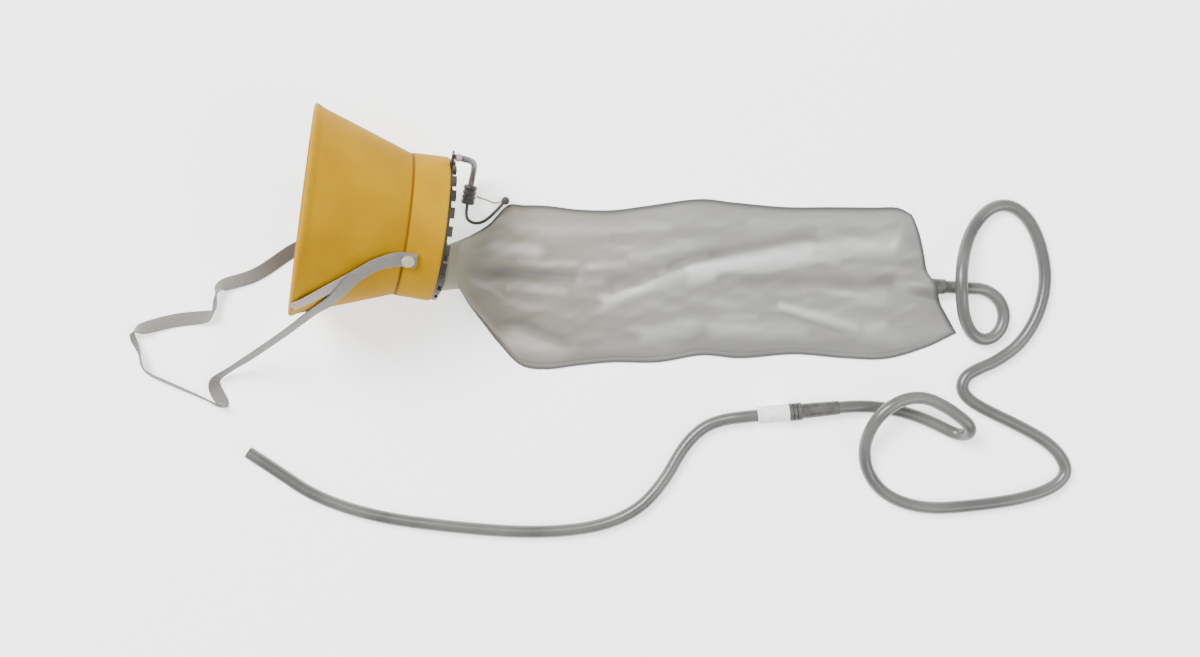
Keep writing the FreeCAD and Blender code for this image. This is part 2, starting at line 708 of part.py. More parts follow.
def make_sleeve():
    """A turned grip sleeve: a shoulder against the barrel, grip rings and a long taper."""
    points = [(0, SLEEVE_START), (BARREL_RADIUS, SLEEVE_START)]
    pitch = SLEEVE_STEP / (SLEEVE_GRIP_RINGS + 1)
    for index in range(SLEEVE_GRIP_RINGS):
        edge = SLEEVE_START + pitch * (index + 1)
        points.append((BARREL_RADIUS, edge - GROOVE_HALF))
        points.append((BARREL_RADIUS - GROOVE_DEPTH, edge))
        points.append((BARREL_RADIUS, edge + GROOVE_HALF))
    shoulder = SLEEVE_START + SLEEVE_STEP
    points.append((BARREL_RADIUS, shoulder))
    points.append((BARREL_RADIUS - SLEEVE_SHOULDER, shoulder + SLEEVE_SHOULDER))
    points.append((SLEEVE_END_RADIUS, SLEEVE_FAR))
    points.append((0, SLEEVE_FAR))
    return turned(points)


keep("indicator_barrel", make_barrel(), ON_INDICATOR)
keep("indicator_float", make_float(), ON_INDICATOR)
keep("indicator_sleeve", make_sleeve(), ON_INDICATOR)
coil = make_coil(FLOAT_RADIUS - SPRING_INSET, INDICATOR_WIRE, INDICATOR_SPRING_LENGTH,
                 INDICATOR_TURNS)
coil.translate(V(0, 0, INDICATOR_SPRING_START))
keep("indicator_spring", coil, ON_INDICATOR)

# Supply hose from the bag to the indicator: a small loop by the bag, a tall loop, a kink,
# a wide loop to the front, and a folded-back hairpin under its own arch.
INDICATOR_IN = ON_INDICATOR.multVec(V(0, 0, 0))
INDICATOR_OUT = ON_INDICATOR.multVec(V(0, 0, SLEEVE_FAR))
UPPER_ROUTE = [
    (199.0, -25.4, 3.7), (207.2, -30.6, 3.5), (210.8, -39.8, 3.5), (208.2, -49.4, 3.5),
    (200.6, -54.8, 3.5), (192.0, -51.6, 5.2), (185.6, -41.6, 11.6), (182.8, -30.6, 17.5),
    (182.6, -17.5, 17.5), (186.0, -3.8, 11.5), (192.8, 9.6, 4.4), (203.0, 20.6, 3.5),
    (214.8, 21.6, 3.5), (224.8, 13.0, 3.5), (231.4, -2.6, 3.5), (234.0, -21.2, 3.5),
    (229.6, -40.4, 3.5), (219.4, -56.6, 3.5), (206.0, -66.2, 3.5), (195.4, -70.4, 3.5),
    (188.4, -74.6, 3.5), (186.2, -81.2, 3.5), (190.2, -87.4, 3.5), (200.6, -93.6, 3.5),
    (216.4, -101.0, 3.5), (233.4, -110.2, 3.5), (242.6, -119.4, 3.5), (245.6, -128.8, 3.5),
    (238.0, -136.8, 3.5), (220.4, -143.0, 3.5), (194.0, -146.8, 3.5), (166.0, -148.8, 3.5),
    (145.0, -142.2, 3.5), (134.0, -129.6, 3.8), (130.8, -115.8, 7.6), (132.8, -104.0, 13.6),
    (139.4, -93.4, 17.5), (151.0, -86.2, 17.5), (163.4, -85.4, 17.5), (174.6, -91.0, 17.5),
    (182.4, -96.6, 17.5), (187.0, -100.8, 17.2), (188.8, -105.0, 13.4), (187.0, -107.2, 7.6),
    (181.8, -106.2, 3.6), (173.4, -101.8, 3.5), (161.6, -96.6, 3.5), (147.4, -92.6, 3.8),
]
LOWER_ROUTE = [
    (52.0, -98.8, 3.8), (41.0, -103.4, 3.5), (30.4, -114.4, 3.5), (20.2, -133.2, 3.5),
    (5.4, -149.8, 3.5), (-18.6, -159.4, 3.5), (-55.0, -162.2, 3.5), (-98.6, -158.8, 3.5),
    (-141.6, -153.2, 3.5), (-175.2, -142.0, 3.5), (-196.0, -127.8, 3.5),
    (-212.6, -117.0, 3.5),
]


def route(points):
    return [V(*point) for point in points]


upper = ([FITTING_END, FITTING_END + FITTING_DIRECTION * STRAIGHT_OUT] + route(UPPER_ROUTE)
         + [INDICATOR_OUT + INDICATOR_DIRECTION * STRAIGHT_IN, INDICATOR_OUT])
lower = ([INDICATOR_IN, INDICATOR_IN - INDICATOR_DIRECTION * STRAIGHT_OUT]
         + route(LOWER_ROUTE))
keep("hose_upper", tube("hose_upper", upper, HOSE_DIAMETER))
hose_end = lower[-1]
hose_back = (lower[-2] - lower[-1]).normalize()
bore = Part.makeCylinder(HOSE_BORE / 2, HOSE_BORE_DEPTH, hose_end, hose_back)
keep("hose_lower", tube("hose_lower", lower, HOSE_DIAMETER).cut(bore))


# Head strap: one length of flat elastic. Its free tail lies on the bell under the strap,
# folds back round the near stud, runs down to the floor and returns under the rim to the
# far stud. A place on the cup is a share of the way from the mouth to the stud, and an angle
# past the stud.
BELL_SLOPE = (CREASE_RADIUS - MOUTH_RADIUS) / BELL_LENGTH
BAND_SLOPE = (BAND_END_RADIUS - CREASE_RADIUS) / BAND_LENGTH


def cup_radius(axial):
    if axial < BELL_LENGTH:
        return MOUTH_RADIUS + BELL_SLOPE * axial
    return CREASE_RADIUS + BAND_SLOPE * (axial - BELL_LENGTH)


def on_cup(axial, angle, radius):
    """A point at a radius round the cup, and the direction square to the cup's wall there."""
    outward = local_direction(angle)
    slope = BELL_SLOPE if axial < BELL_LENGTH else BAND_SLOPE
    place = ON_MASK.multVec(outward * radius + V(0, 0, axial))
    return place, ON_MASK.Rotation.multVec(outward - V(0, 0, slope)).normalize()


NEAR_STUD_ANGLE = 180.0
FAR_STUD_ANGLE = 0.0
TAIL_HEIGHT = STRAP_THICKNESS / 2 + 2 * LAYER_GAP
MAIN_HEIGHT = TAIL_HEIGHT + STRAP_THICKNESS + LAYER_GAP
HEAD_CLEAR = STUD_HEAD_RADIUS + LAYER_GAP
TAIL_ON_CUP = [(0.03, 34.0), (0.13, 30.0), (0.24, 25.0), (0.34, 20.5), (0.45, 16.0), (0.56, 11.0),
               (0.67, 6.0), (0.79, 2.0), (0.87, 0.0)]
MAIN_ON_CUP = [(0.87, 0.0), (0.79, 1.0), (0.67, 4.5), (0.56, 11.0), (0.48, 18.0), (0.42, 26.0)]
FAR_ON_CUP = [(0.68, -10.0), (0.81, -4.0), (0.88, 0.0)]
# Free run: x, y, height of the middle of the band, and its turn about its own length,
# where 0 lies flat and -90 stands on edge.
STRAP_FREE = [
    (-156.0, -35.6, 69.0, -62.0), (-163.6, -39.0, 61.5, -72.0), (-173.0, -44.4, 51.5, -78.0),
    (-185.0, -51.2, 39.5, -80.0), (-197.6, -57.8, 27.0, -80.0), (-209.6, -64.2, 15.8, -80.0),
    (-220.4, -69.8, 8.0, -78.0), (-228.0, -73.8, 4.8, -72.0), (-231.4, -76.8, 4.1, -60.0),
    (-231.8, -80.2, 3.2, -42.0), (-230.2, -84.2, 2.6, -30.0), (-227.6, -88.0, 3.0, -42.0),
    (-225.6, -90.6, 3.9, -75.0), (-226.2, -91.8, 4.1, -88.0), (-229.0, -91.0, 4.1, -90.0),
    (-236.0, -87.4, 4.1, -88.0), (-247.0, -82.6, 4.1, -84.0), (-259.0, -77.4, 4.1, -82.0),
    (-267.0, -74.0, 4.1, -80.0), (-271.0, -71.0, 4.0, -74.0), (-272.8, -66.8, 3.8, -66.0),
    (-273.2, -62.0, 3.9, -76.0), (-274.8, -57.6, 4.0, -90.0), (-276.8, -53.6, 4.1, -96.0),
    (-277.4, -50.6, 4.1, -90.0), (-275.8, -48.8, 3.9, -70.0), (-272.6, -47.8, 2.8, -36.0),
    (-268.0, -46.6, 1.5, -14.0), (-260.0, -44.4, 0.9, -4.0), (-252.0, -42.8, 0.9, 0.0),
    (-243.6, -41.9, 0.9, -4.0), (-237.6, -41.4, 1.5, -14.0), (-234.0, -40.6, 2.8, -38.0),
    (-232.0, -38.8, 3.8, -70.0), (-231.2, -35.6, 4.1, -88.0), (-230.8, -30.4, 4.1, -86.0),
    (-230.2, -26.6, 3.9, -70.0), (-228.6, -24.2, 2.8, -42.0), (-225.0, -22.6, 1.6, -16.0),
    (-219.0, -21.0, 0.9, -4.0), (-211.0, -18.6, 0.8, 0.0), (-203.0, -14.2, 0.8, 0.0),
    (-195.6, -8.8, 0.75, 0.0), (-188.0, -3.6, 0.7, 0.0), (-178.0, 0.8, 0.7, 0.0),
    (-166.0, 5.6, 0.7, 2.0), (-154.0, 11.4, 1.1, 8.0),
]


def strap_section(place, along, width_way):
    """The band's rectangle at one place, square to its path."""
    across = (width_way - along * width_way.dot(along)).normalize() * (STRAP_WIDTH / 2)
    through = across.cross(along).normalize() * (STRAP_THICKNESS / 2)
    return [place + across + through, place - across + through,
            place - across - through, place + across - through]


def banded_solid(sections):
    """A solid through four-cornered sections, each side of each step two flat triangles."""
    faces = []
    for end in (sections[0], sections[-1]):
        faces.append(Part.Face(Part.makePolygon(end + [end[0]])))
    for first, second in zip(sections, sections[1:]):
        for side in range(4):
            after = (side + 1) % 4
            faces.append(Part.Face(Part.makePolygon(
                [first[side], first[after], second[after], first[side]])))
            faces.append(Part.Face(Part.makePolygon(
                [first[side], second[after], second[side], first[side]])))
    shell = Part.makeShell(faces)
    shell.sewShape()
    solid = Part.makeSolid(shell)
    if solid.Volume < 0:
        solid.reverse()
    return solid


def laid_on_cup(share, angle, height):
    """A place on the cup, at a share of the way from the mouth to the stud."""
    axial = share * STUD_AXIAL
    return on_cup(axial, angle, cup_radius(axial) + height)


def under_head(past, angle, height):
    """A place level with the stud, and its width direction, so that the band lies flat there."""
    place = on_cup(STUD_AXIAL + past, angle, cup_radius(STUD_AXIAL) + height)[0]
    return place, ON_MASK.Rotation.multVec(local_direction(angle + 90))


def make_strap():
    places = []
    ways = []

    def add(place, way):
        """Keep a place, its width direction on the same side as the last one's."""
        same_side = not ways or way.dot(ways[-1]) > 0
        places.append(place)
        ways.append(way if same_side else way * -1)

    def add_on_cup(stations, stud_angle, height):
        """Places on the cup, their band lying flat on the surface."""
        points = [laid_on_cup(share, stud_angle + past, height) for share, past in stations]
        for index, (place, outward) in enumerate(points):
            before = points[max(index - 1, 0)][0]
            after = points[min(index + 1, len(points) - 1)][0]
            add(place, (after - before).cross(outward).normalize())

    add_on_cup(TAIL_ON_CUP, NEAR_STUD_ANGLE, TAIL_HEIGHT)
    for past, height in ((-HEAD_CLEAR, TAIL_HEIGHT), (0, TAIL_HEIGHT), (HEAD_CLEAR, TAIL_HEIGHT),
                         (HEAD_CLEAR + FOLD_REACH, (TAIL_HEIGHT + MAIN_HEIGHT) / 2),
                         (HEAD_CLEAR, MAIN_HEIGHT), (0, MAIN_HEIGHT),
                         (-HEAD_CLEAR, MAIN_HEIGHT)):
        add(*under_head(past, NEAR_STUD_ANGLE, height))
    add_on_cup(MAIN_ON_CUP, NEAR_STUD_ANGLE, MAIN_HEIGHT)
    free_places = [V(x, y, z) for x, y, z, turn in STRAP_FREE]
    far_share, far_past = FAR_ON_CUP[0]
    first_far = laid_on_cup(far_share, FAR_STUD_ANGLE + far_past, TAIL_HEIGHT)[0]
    for index, (x, y, z, turn) in enumerate(STRAP_FREE):
        before = free_places[index - 1] if index else places[-1]
        after = free_places[index + 1] if index + 1 < len(STRAP_FREE) else first_far
        along = (after - before).normalize()
        level = V(0, 0, 1).cross(along).normalize()
        rising = along.cross(level).normalize()
        turned_by = math.radians(turn)
        add(free_places[index], level * math.cos(turned_by) + rising * math.sin(turned_by))
    add_on_cup(FAR_ON_CUP, FAR_STUD_ANGLE, TAIL_HEIGHT)
    for past in (-HEAD_CLEAR, 0, HEAD_CLEAR):
        add(*under_head(past, FAR_STUD_ANGLE, TAIL_HEIGHT))
    sections = []
    length = 0.0
    for index, (place, way) in enumerate(zip(places, ways)):
        before = places[max(index - 1, 0)]
        after = places[min(index + 1, len(places) - 1)]
        into = (place - before).normalize() if index else (after - place).normalize()
        out = (after - place).normalize() if index + 1 < len(places) else into
        sections.append(strap_section(place, (into + out).normalize(), way))
        length += (place - before).Length
    strap = banded_solid(sections)
    print("strap length %.1f" % length, "volume ratio %.3f"
          % (strap.Volume / (length * STRAP_WIDTH * STRAP_THICKNESS)), "valid", strap.isValid())
    for side in (-1, 1):
        hole = Part.makeCylinder(STUD_POST + POST_GAP, MOUTH_RADIUS, V(0, 0, STUD_AXIAL),
                                 V(side, 0, 0))
        hole.Placement = ON_MASK.multiply(hole.Placement)
        strap = strap.cut(hole)
    return strap


keep("elastic_strap", make_strap())


# Studs and washers that pin the strap to the cup
STUD_WALL_RADIUS = cup_radius(STUD_AXIAL)
CREASE_INNER = CREASE_RADIUS - WALL * math.hypot(1, BELL_SLOPE)
WASHER_SEAT = math.sqrt(CREASE_INNER ** 2 - WASHER_RADIUS ** 2) - FIT_GAP


def make_stud(outermost_layer):
    """A domed button, its post and the clinched end inside the cup, along the Z axis."""
    head = STUD_WALL_RADIUS + outermost_layer + STRAP_THICKNESS / 2 + LAYER_GAP
    clinch = WASHER_SEAT - WASHER_THICKNESS - FIT_GAP
    return turned([
        (0, head + STUD_HEAD_HEIGHT),
        (HEAD_CROWN, head + HEAD_SHOULDER),
        (STUD_HEAD_RADIUS, head + HEAD_EDGE),
        (STUD_HEAD_RADIUS, head),
        (STUD_POST, head),
        (STUD_POST, clinch),
        (STUD_POST + CLINCH_FLARE, clinch),
        (STUD_POST + CLINCH_FLARE, clinch - CLINCH_HEIGHT),
        (0, clinch - CLINCH_HEIGHT),
    ])


def make_washer():
    return ring(WASHER_RADIUS, STUD_POST + POST_GAP, WASHER_SEAT - WASHER_THICKNESS, WASHER_SEAT)


for name, side, layer in (("near", -1, MAIN_HEIGHT), ("far", 1, TAIL_HEIGHT)):
    sideways = ON_MASK.multiply(FreeCAD.Placement(V(0, 0, STUD_AXIAL),
                                                  FreeCAD.Rotation(V(0, 1, 0), 90 * side)))
    keep("strap_stud_" + name, make_stud(layer), sideways)
    keep("stud_washer_" + name, make_washer(), sideways)


# Pull lanyard: a knob on the guard's lug, a hanging cord, a ribbed ferrule and a thin loop
# that ties it to the bag's corner
def make_bead(radius, centre):
    """A small round knot, turned in short straight facets."""
    rise = [math.radians(30 * step - 90) for step in range(7)]
    bead = turned([(radius * math.cos(a), radius * math.sin(a)) for a in rise[1:-1]]
                  + [(0, radius), (0, -radius)])
    bead.translate(centre)
    return bead


KNOB_SEAT = V(0, LUG_REACH - 2 * LUG_HOLE, CUP_LENGTH + 2 * FIT_GAP + GUARD_FLANGE + KNOB_RADIUS)
knob_centre = ON_MASK.multVec(KNOB_SEAT)
keep("lanyard_knob", make_bead(KNOB_RADIUS, knob_centre))
FERRULE_START = V(-87.8, 32.0, 6.4)
FERRULE_WAY = V(-0.2, -0.96, -0.2).normalize()
FERRULE_END = FERRULE_START + FERRULE_WAY * FERRULE_LENGTH
CORD_ROUTE = [(-84.4, 40.8, 48.0), (-83.6, 41.4, 32.0), (-85.0, 40.2, 16.0)]
LOOP_ROUTE = [(-90.0, 12.6, 1.2), (-84.0, 10.8, 1.0), (-77.0, 14.8, 1.2)]
FILAMENT_ROUTE = [(-80.0, 24.6, 2.6), (-74.6, 22.4, 2.2)]
BAG_CORNER = BAG_STATIONS[3][0]
TIE_CENTRE = V(BAG_CORNER[0] + TIE_PAST_CORNER[0], BAG_CORNER[1] + TIE_PAST_CORNER[1],
               TIE_RADIUS + TIE_LIFT)


def make_ferrule():
    pitch = FERRULE_LENGTH / FERRULE_RIBS
    points = [(0, 0)]
    for index in range(FERRULE_RIBS):
        points.append((FERRULE_RADIUS - FERRULE_GROOVE, index * pitch))
        points.append((FERRULE_RADIUS, (index + 0.5) * pitch))
    points.append((FERRULE_RADIUS - FERRULE_GROOVE, FERRULE_LENGTH))
    points.append((0, FERRULE_LENGTH))
    ferrule = turned(points)
    ferrule.Placement = FreeCAD.Placement(FERRULE_START, FreeCAD.Rotation(V(0, 0, 1), FERRULE_WAY))
    return ferrule


keep("lanyard_ferrule", make_ferrule())
keep("bag_tie", make_bead(TIE_RADIUS, TIE_CENTRE))
cord_end = FERRULE_START - FERRULE_WAY * FIT_GAP
cord = route(CORD_ROUTE) + [cord_end - FERRULE_WAY * FERRULE_STRAIGHT]
cord_start = knob_centre + (cord[0] - knob_centre).normalize() * (KNOB_RADIUS + FIT_GAP)
keep("lanyard_cord", tube("lanyard_cord", [cord_start] + cord + [cord_end], LANYARD_DIAMETER))
loop_start = FERRULE_END + FERRULE_WAY * FIT_GAP
loop = [loop_start + FERRULE_WAY * FERRULE_STRAIGHT] + route(LOOP_ROUTE)
loop_end = TIE_CENTRE + (loop[-1] - TIE_CENTRE).normalize() * (TIE_RADIUS + FIT_GAP)
keep("lanyard_loop", tube("lanyard_loop", [loop_start] + loop + [loop_end], LOOP_DIAMETER))
filament = route(FILAMENT_ROUTE)
ferrule_side = FERRULE_START + FERRULE_WAY * (FERRULE_LENGTH / 2)
filament_way = (filament[0] - ferrule_side).normalize()
filament_start = ferrule_side + filament_way * (FERRULE_RADIUS + FILAMENT_GAP)
filament_end = TIE_CENTRE + (filament[-1] - TIE_CENTRE).normalize() * (TIE_RADIUS + FIT_GAP)
keep("lanyard_filament", tube("lanyard_filament", [filament_start] + filament + [filament_end],
                              FILAMENT_DIAMETER))

for name, solid in shapes.items():
    solid.exportStep("parts/" + name + ".step")
    print(name, "valid", solid.isValid(), "solids", len(solid.Solids),
          "volume %.1f" % solid.Volume, solid.BoundBox)
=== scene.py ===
# %% [markdown]
# # A passenger oxygen mask on a white table
# The solids of the mask come in as a fixed frame. This lesson dresses them: it adds the
# camera, the hoses, the strap, the film bag and the finishes. Every place is in metres, in
# the frame's own axes: +Z is up, and +X runs along the bag from the mask to the hose.

# %% Load the frame
import math

import bpy
import numpy as np
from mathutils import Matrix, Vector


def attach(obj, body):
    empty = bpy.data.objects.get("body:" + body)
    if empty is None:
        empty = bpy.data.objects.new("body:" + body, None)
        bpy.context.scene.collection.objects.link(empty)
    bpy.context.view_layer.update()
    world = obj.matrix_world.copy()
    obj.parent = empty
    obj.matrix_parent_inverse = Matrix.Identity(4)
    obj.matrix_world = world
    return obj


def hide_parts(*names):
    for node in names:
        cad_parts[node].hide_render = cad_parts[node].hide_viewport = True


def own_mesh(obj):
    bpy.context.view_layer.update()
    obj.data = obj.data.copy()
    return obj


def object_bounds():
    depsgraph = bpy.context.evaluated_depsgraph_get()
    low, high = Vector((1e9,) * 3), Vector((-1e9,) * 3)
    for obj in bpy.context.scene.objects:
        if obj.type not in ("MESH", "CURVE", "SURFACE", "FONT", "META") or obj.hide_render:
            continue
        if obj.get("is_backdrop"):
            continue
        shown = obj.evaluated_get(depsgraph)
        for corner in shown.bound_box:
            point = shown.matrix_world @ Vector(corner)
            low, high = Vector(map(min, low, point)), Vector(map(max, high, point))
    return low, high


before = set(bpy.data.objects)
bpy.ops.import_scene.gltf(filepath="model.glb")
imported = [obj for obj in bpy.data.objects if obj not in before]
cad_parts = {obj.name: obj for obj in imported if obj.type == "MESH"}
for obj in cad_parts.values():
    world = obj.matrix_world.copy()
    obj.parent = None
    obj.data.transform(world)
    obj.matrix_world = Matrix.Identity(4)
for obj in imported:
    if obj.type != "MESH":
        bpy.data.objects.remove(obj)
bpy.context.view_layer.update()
MM = 0.001
print("solids", len(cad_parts))

# %% [markdown]
# ## Camera and table
# The picture is taken from straight above. Its distance and scale were found from the cone's
# corners, so the lens follows from two real sizes: how far the camera is from the table, and
# how wide a strip of table the picture shows.

# %% Camera
CAMERA_HEIGHT = 0.744
CAMERA_PLACE = (-0.0158, -0.0477, CAMERA_HEIGHT)
SENSOR_WIDTH = 36.0
VIEW_WIDTH = 0.6746
camera_data = bpy.data.cameras.new("camera")
camera_data.sensor_width = SENSOR_WIDTH
camera_data.lens = SENSOR_WIDTH * CAMERA_HEIGHT / VIEW_WIDTH
camera = bpy.data.objects.new("camera", camera_data)
camera.location = CAMERA_PLACE
bpy.context.scene.collection.objects.link(camera)
bpy.context.scene.camera = camera
print("lens %.1f mm" % camera_data.lens)

# %% [markdown]
# ## Small helpers
# Every finish here is built from shader nodes. They could be listed by hand for each one, but
# long lists hide the idea. So one function adds a node with its settings and links, and a few
# others each make a step of a finish from it: lumps, a blend of two colours, two tones, and a
# grain. Colours are written as sRGB hex, as a paint chart gives them, and shaders want them
# linear.


# %% Helpers for colours and shader nodes
def linear(colour):
    """sRGB hex to linear: a channel c up to 0.04045 is divided by 12.92, and any other becomes
    ((c + 0.055) / 1.055) ** 2.4."""
    channels = [int(colour[i:i + 2], 16) / 255 for i in (1, 3, 5)]
    return tuple(c / 12.92 if c <= 0.04045 else ((c + 0.055) / 1.055) ** 2.4
                 for c in channels) + (1.0,)


def add(tree, kind, settings=None, **inputs):
    """Add a shader node; an input is a value, or another node's socket to link. An input's name
    has _ for each space, and _6 is the input with number 6."""
    made = tree.nodes.new(kind)
    for name, value in (settings or {}).items():
        setattr(made, name, value)
    for name, value in inputs.items():
        socket = made.inputs[int(name[1:]) if name[0] == "_" else name.replace("_", " ")]
        if isinstance(value, bpy.types.NodeSocket):
            tree.links.new(value, socket)
        else:
            socket.default_value = value
    return made


def new_material(name, **shader):
    """A material with one Principled shader: returns the material, its tree and the shader."""
    material = bpy.data.materials.new(name)
    material.use_nodes = True
    tree = material.node_tree
    tree.nodes.clear()
    principled = add(tree, "ShaderNodeBsdfPrincipled", **shader)
    add(tree, "ShaderNodeOutputMaterial", Surface=principled.outputs["BSDF"])
    return material, tree, principled


print("mid grey, linear: %.3f" % linear("#808080")[0])


# %% Helpers for the steps of a finish
LOW_TONE = 0.35
HIGH_TONE = 0.65
EVEN = (1.0, 1.0, 1.0)


def lumps(tree, size, detail=3.0, stretch=EVEN):
    """A pattern from 0 to 1 in soft lumps about size metres across, fixed to the piece: noise
    on Object coordinates times stretch, so a lump is narrower along an axis stretched more."""
    place = add(tree, "ShaderNodeTexCoord").outputs["Object"]
    scaled = add(tree, "ShaderNodeMapping", Vector=place, Scale=stretch).outputs["Vector"]
    return add(tree, "ShaderNodeTexNoise", Vector=scaled, Scale=1.0 / size,
               Detail=detail).outputs["Fac"]


def blend(tree, value, low, high, first, second):
    """The first colour where the value is under low, the second where it is over high, and an
    even mix between. A colour is sRGB hex or a socket."""
    share = add(tree, "ShaderNodeMapRange", Value=value, From_Min=low, From_Max=high)
    first, second = (linear(c) if isinstance(c, str) else c for c in (first, second))
    return add(tree, "ShaderNodeMix", {"data_type": "RGBA"}, _0=share.outputs["Result"],
               _6=first, _7=second).outputs[2]


def two_tones(tree, size, first, second, detail=3.0, stretch=EVEN):
    """One tone in the low parts of a pattern of lumps, another in the high parts."""
    return blend(tree, lumps(tree, size, detail, stretch), LOW_TONE, HIGH_TONE, first, second)


def grain(tree, shader, size, depth, detail=3.0, stretch=EVEN):
    """Tilt the shader's normal as if lumps of a size stood up by depth metres."""
    raised = add(tree, "ShaderNodeBump", Height=lumps(tree, size, detail, stretch),
                 Distance=depth, Strength=1.0)
    tree.links.new(raised.outputs["Normal"], shader.inputs["Normal"])


print("two tones meet between %.2f and %.2f of a pattern" % (LOW_TONE, HIGH_TONE))

# %% [markdown]
# ## Table
# The mask lies on white without an edge. A curved sweep could give that in every view, but the
# picture is taken from above, where a flat sheet looks the same. A wide one leaves little
# beyond it in low views. It also gives off light of its own, because lamps strong enough to
# make it white would wash out the yellow and the film.

# %% Table
TABLE_SIZE = 12.0
TABLE_GLOW = 1.3
# White card, matt: it has no gloss, so the lamps leave no glare on it.
table_white = new_material(
    "white_sweep", Base_Color=linear("#fbfbfa"), Roughness=0.9, Specular_IOR_Level=0.1,
    Emission_Color=linear("#ffffff"), Emission_Strength=TABLE_GLOW)[0]
half = TABLE_SIZE / 2
table_mesh = bpy.data.meshes.new("table")
table_mesh.from_pydata([(-half, -half, 0), (half, -half, 0), (half, half, 0), (-half, half, 0)],
                       [], [(0, 1, 2, 3)])
table = bpy.data.objects.new("table", table_mesh)
table_mesh.materials.append(table_white)
bpy.context.scene.collection.objects.link(table)
table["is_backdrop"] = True
print("table %.0f m square" % TABLE_SIZE)

# %% [markdown]
# ## Light
# Plain soft studio light. A single lamp leaves one side of the cone dark, and light from all
# round leaves the film flat. So a broad lamp from the far left shapes the folds and the cone,
# and a broader, weaker one stands opposite. The sky is dim, because a bright one would lie
# over every colour as a pale veil.

# %% Light
LAMP_AIM = (0.0, 0.0, 0.0)
SKY_STRENGTH = 0.5
# Each lamp's name, its place and side in metres, and its power in watts
LAMPS = [("soft_key", (-1.5, 1.3, 2.6), 1.6, 250.0), ("soft_fill", (1.9, -1.2, 2.6), 2.4, 80.0)]


def lamp(name, place, side, watts):
    """A square soft lamp turned to the aim: it tips by the angle whose tangent is the level
    distance over the drop, and turns a quarter turn less than the aim's direction."""
    data = bpy.data.lights.new(name, "AREA")
    data.size = side
    data.energy = watts
    made = bpy.data.objects.new(name, data)
    made.location = place
    way = np.array(LAMP_AIM) - np.array(place)
    level = math.hypot(way[0], way[1])
    made.rotation_euler = (math.atan2(level, -way[2]), 0, math.atan2(way[1], way[0]) - math.pi / 2)
    bpy.context.scene.collection.objects.link(made)


for lamp_values in LAMPS:
    lamp(*lamp_values)
world = bpy.data.worlds.new("studio")
world.use_nodes = True
world.node_tree.nodes["Background"].inputs["Color"].default_value = (1, 1, 1, 1)
world.node_tree.nodes["Background"].inputs["Strength"].default_value = SKY_STRENGTH
bpy.context.scene.world = world
print("lamps", len(LAMPS))

# %% [markdown]
# ## A cord from its route
# A hose or cord is a line with a round section. It could be a mesh swept point by point, but a
# curve with a bevel says the same in fewer numbers: the route's points are its control points,
# and the NURBS line runs smoothly inside their corners, as a bent tube does. Where a piece
# needs the line itself, it is read back from the same curve without its bevel.

# %% A cord from its route
BEVEL_ROUNDS = 6
CURVE_STEPS = 8


def spline_object(name, points, radius, steps=CURVE_STEPS):
    """A NURBS curve of order 3 with the route's points as its control points, in metres."""
    curve = bpy.data.curves.new(name, "CURVE")
    curve.dimensions = "3D"
    spline = curve.splines.new("NURBS")
    places = np.asarray(points, dtype=float)
    spline.points.add(len(places) - 1)
    flat = np.column_stack([places, np.ones(len(places))]).ravel()
    spline.points.foreach_set("co", flat)
    spline.order_u = 3
    spline.use_endpoint_u = True
    curve.resolution_u = steps
    curve.bevel_depth = radius
    curve.bevel_resolution = BEVEL_ROUNDS
    curve.use_fill_caps = True
    made = bpy.data.objects.new(name, curve)
    bpy.context.scene.collection.objects.link(made)
    return made


def line_points(points, steps=CURVE_STEPS):
    """The points of the route's own smooth line, read from a bevel-less copy of the curve."""
    bare = spline_object("bare_line", points, 0.0, steps=steps)
    bare_curve = bare.data
    mesh = bpy.data.meshes.new_from_object(bare)
    flat = np.empty(len(mesh.vertices) * 3)
    mesh.vertices.foreach_get("co", flat)
    bpy.data.objects.remove(bare)
    bpy.data.curves.remove(bare_curve)
    bpy.data.meshes.remove(mesh)
    return flat.reshape(-1, 3)


def distances(line):
    """How far along a line each of its points is: the lengths of its steps, added up."""
    return np.concatenate([[0], np.cumsum(np.linalg.norm(np.diff(line, axis=0), axis=1))])


def finish_piece(piece, material, body="mask"):
    """Give a piece its material and the body that carries it."""
    if material.name not in piece.data.materials:
        piece.data.materials.append(material)
    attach(piece, body)
    return piece


straight_metre = line_points([(0, 0, 0), (0.5, 0, 0), (1, 0, 0)])
print("a straight metre measures %.3f m" % distances(straight_metre)[-1])

# %% [markdown]
# ## Clear vinyl
# The supply tube is soft clear vinyl. In the picture it is a milky grey with paler sides, and
# its bore doesn't show. A glass tube with a bore would look empty on a white table. So the
# tube is solid, part clear and part grey, with a gloss that the lamps draw as a line.

# %% Vinyl
# Extruded clear vinyl: glossy, milky grey where it is thick. The unevenness of its wall is
# finer than the render shows, so it is drawn about 4 mm long.
vinyl, vinyl_tree, vinyl_shader = new_material(
    "clear_vinyl_tube", Roughness=0.28, IOR=1.53, Transmission_Weight=0.35)
vinyl_tree.links.new(two_tones(vinyl_tree, 30 * MM, "#5a5a58", "#70706d", detail=2.0),
                     vinyl_shader.inputs["Base Color"])
grain(vinyl_tree, vinyl_shader, 4 * MM, 0.1 * MM, detail=2.0)
print(vinyl.name, "nodes", len(vinyl_tree.nodes))

# %% [markdown]
# ## The hoses
# The tube was stored folded, so it springs up in loose loops. The upper one leaves the bag,
# makes a small ring, climbs over itself into a tall loop, kinks, swings round to the front and
# doubles back in a hairpin under its own arch. A simulated rope would fall in its own way, so
# the route's points are listed, read from the picture. At a crossing, two points lift it.


# %% Hose routes
def heading(degrees):
    """A level direction: the cosine and the sine of its angle from +X."""
    return np.array([math.cos(math.radians(degrees)), math.sin(math.radians(degrees)), 0])


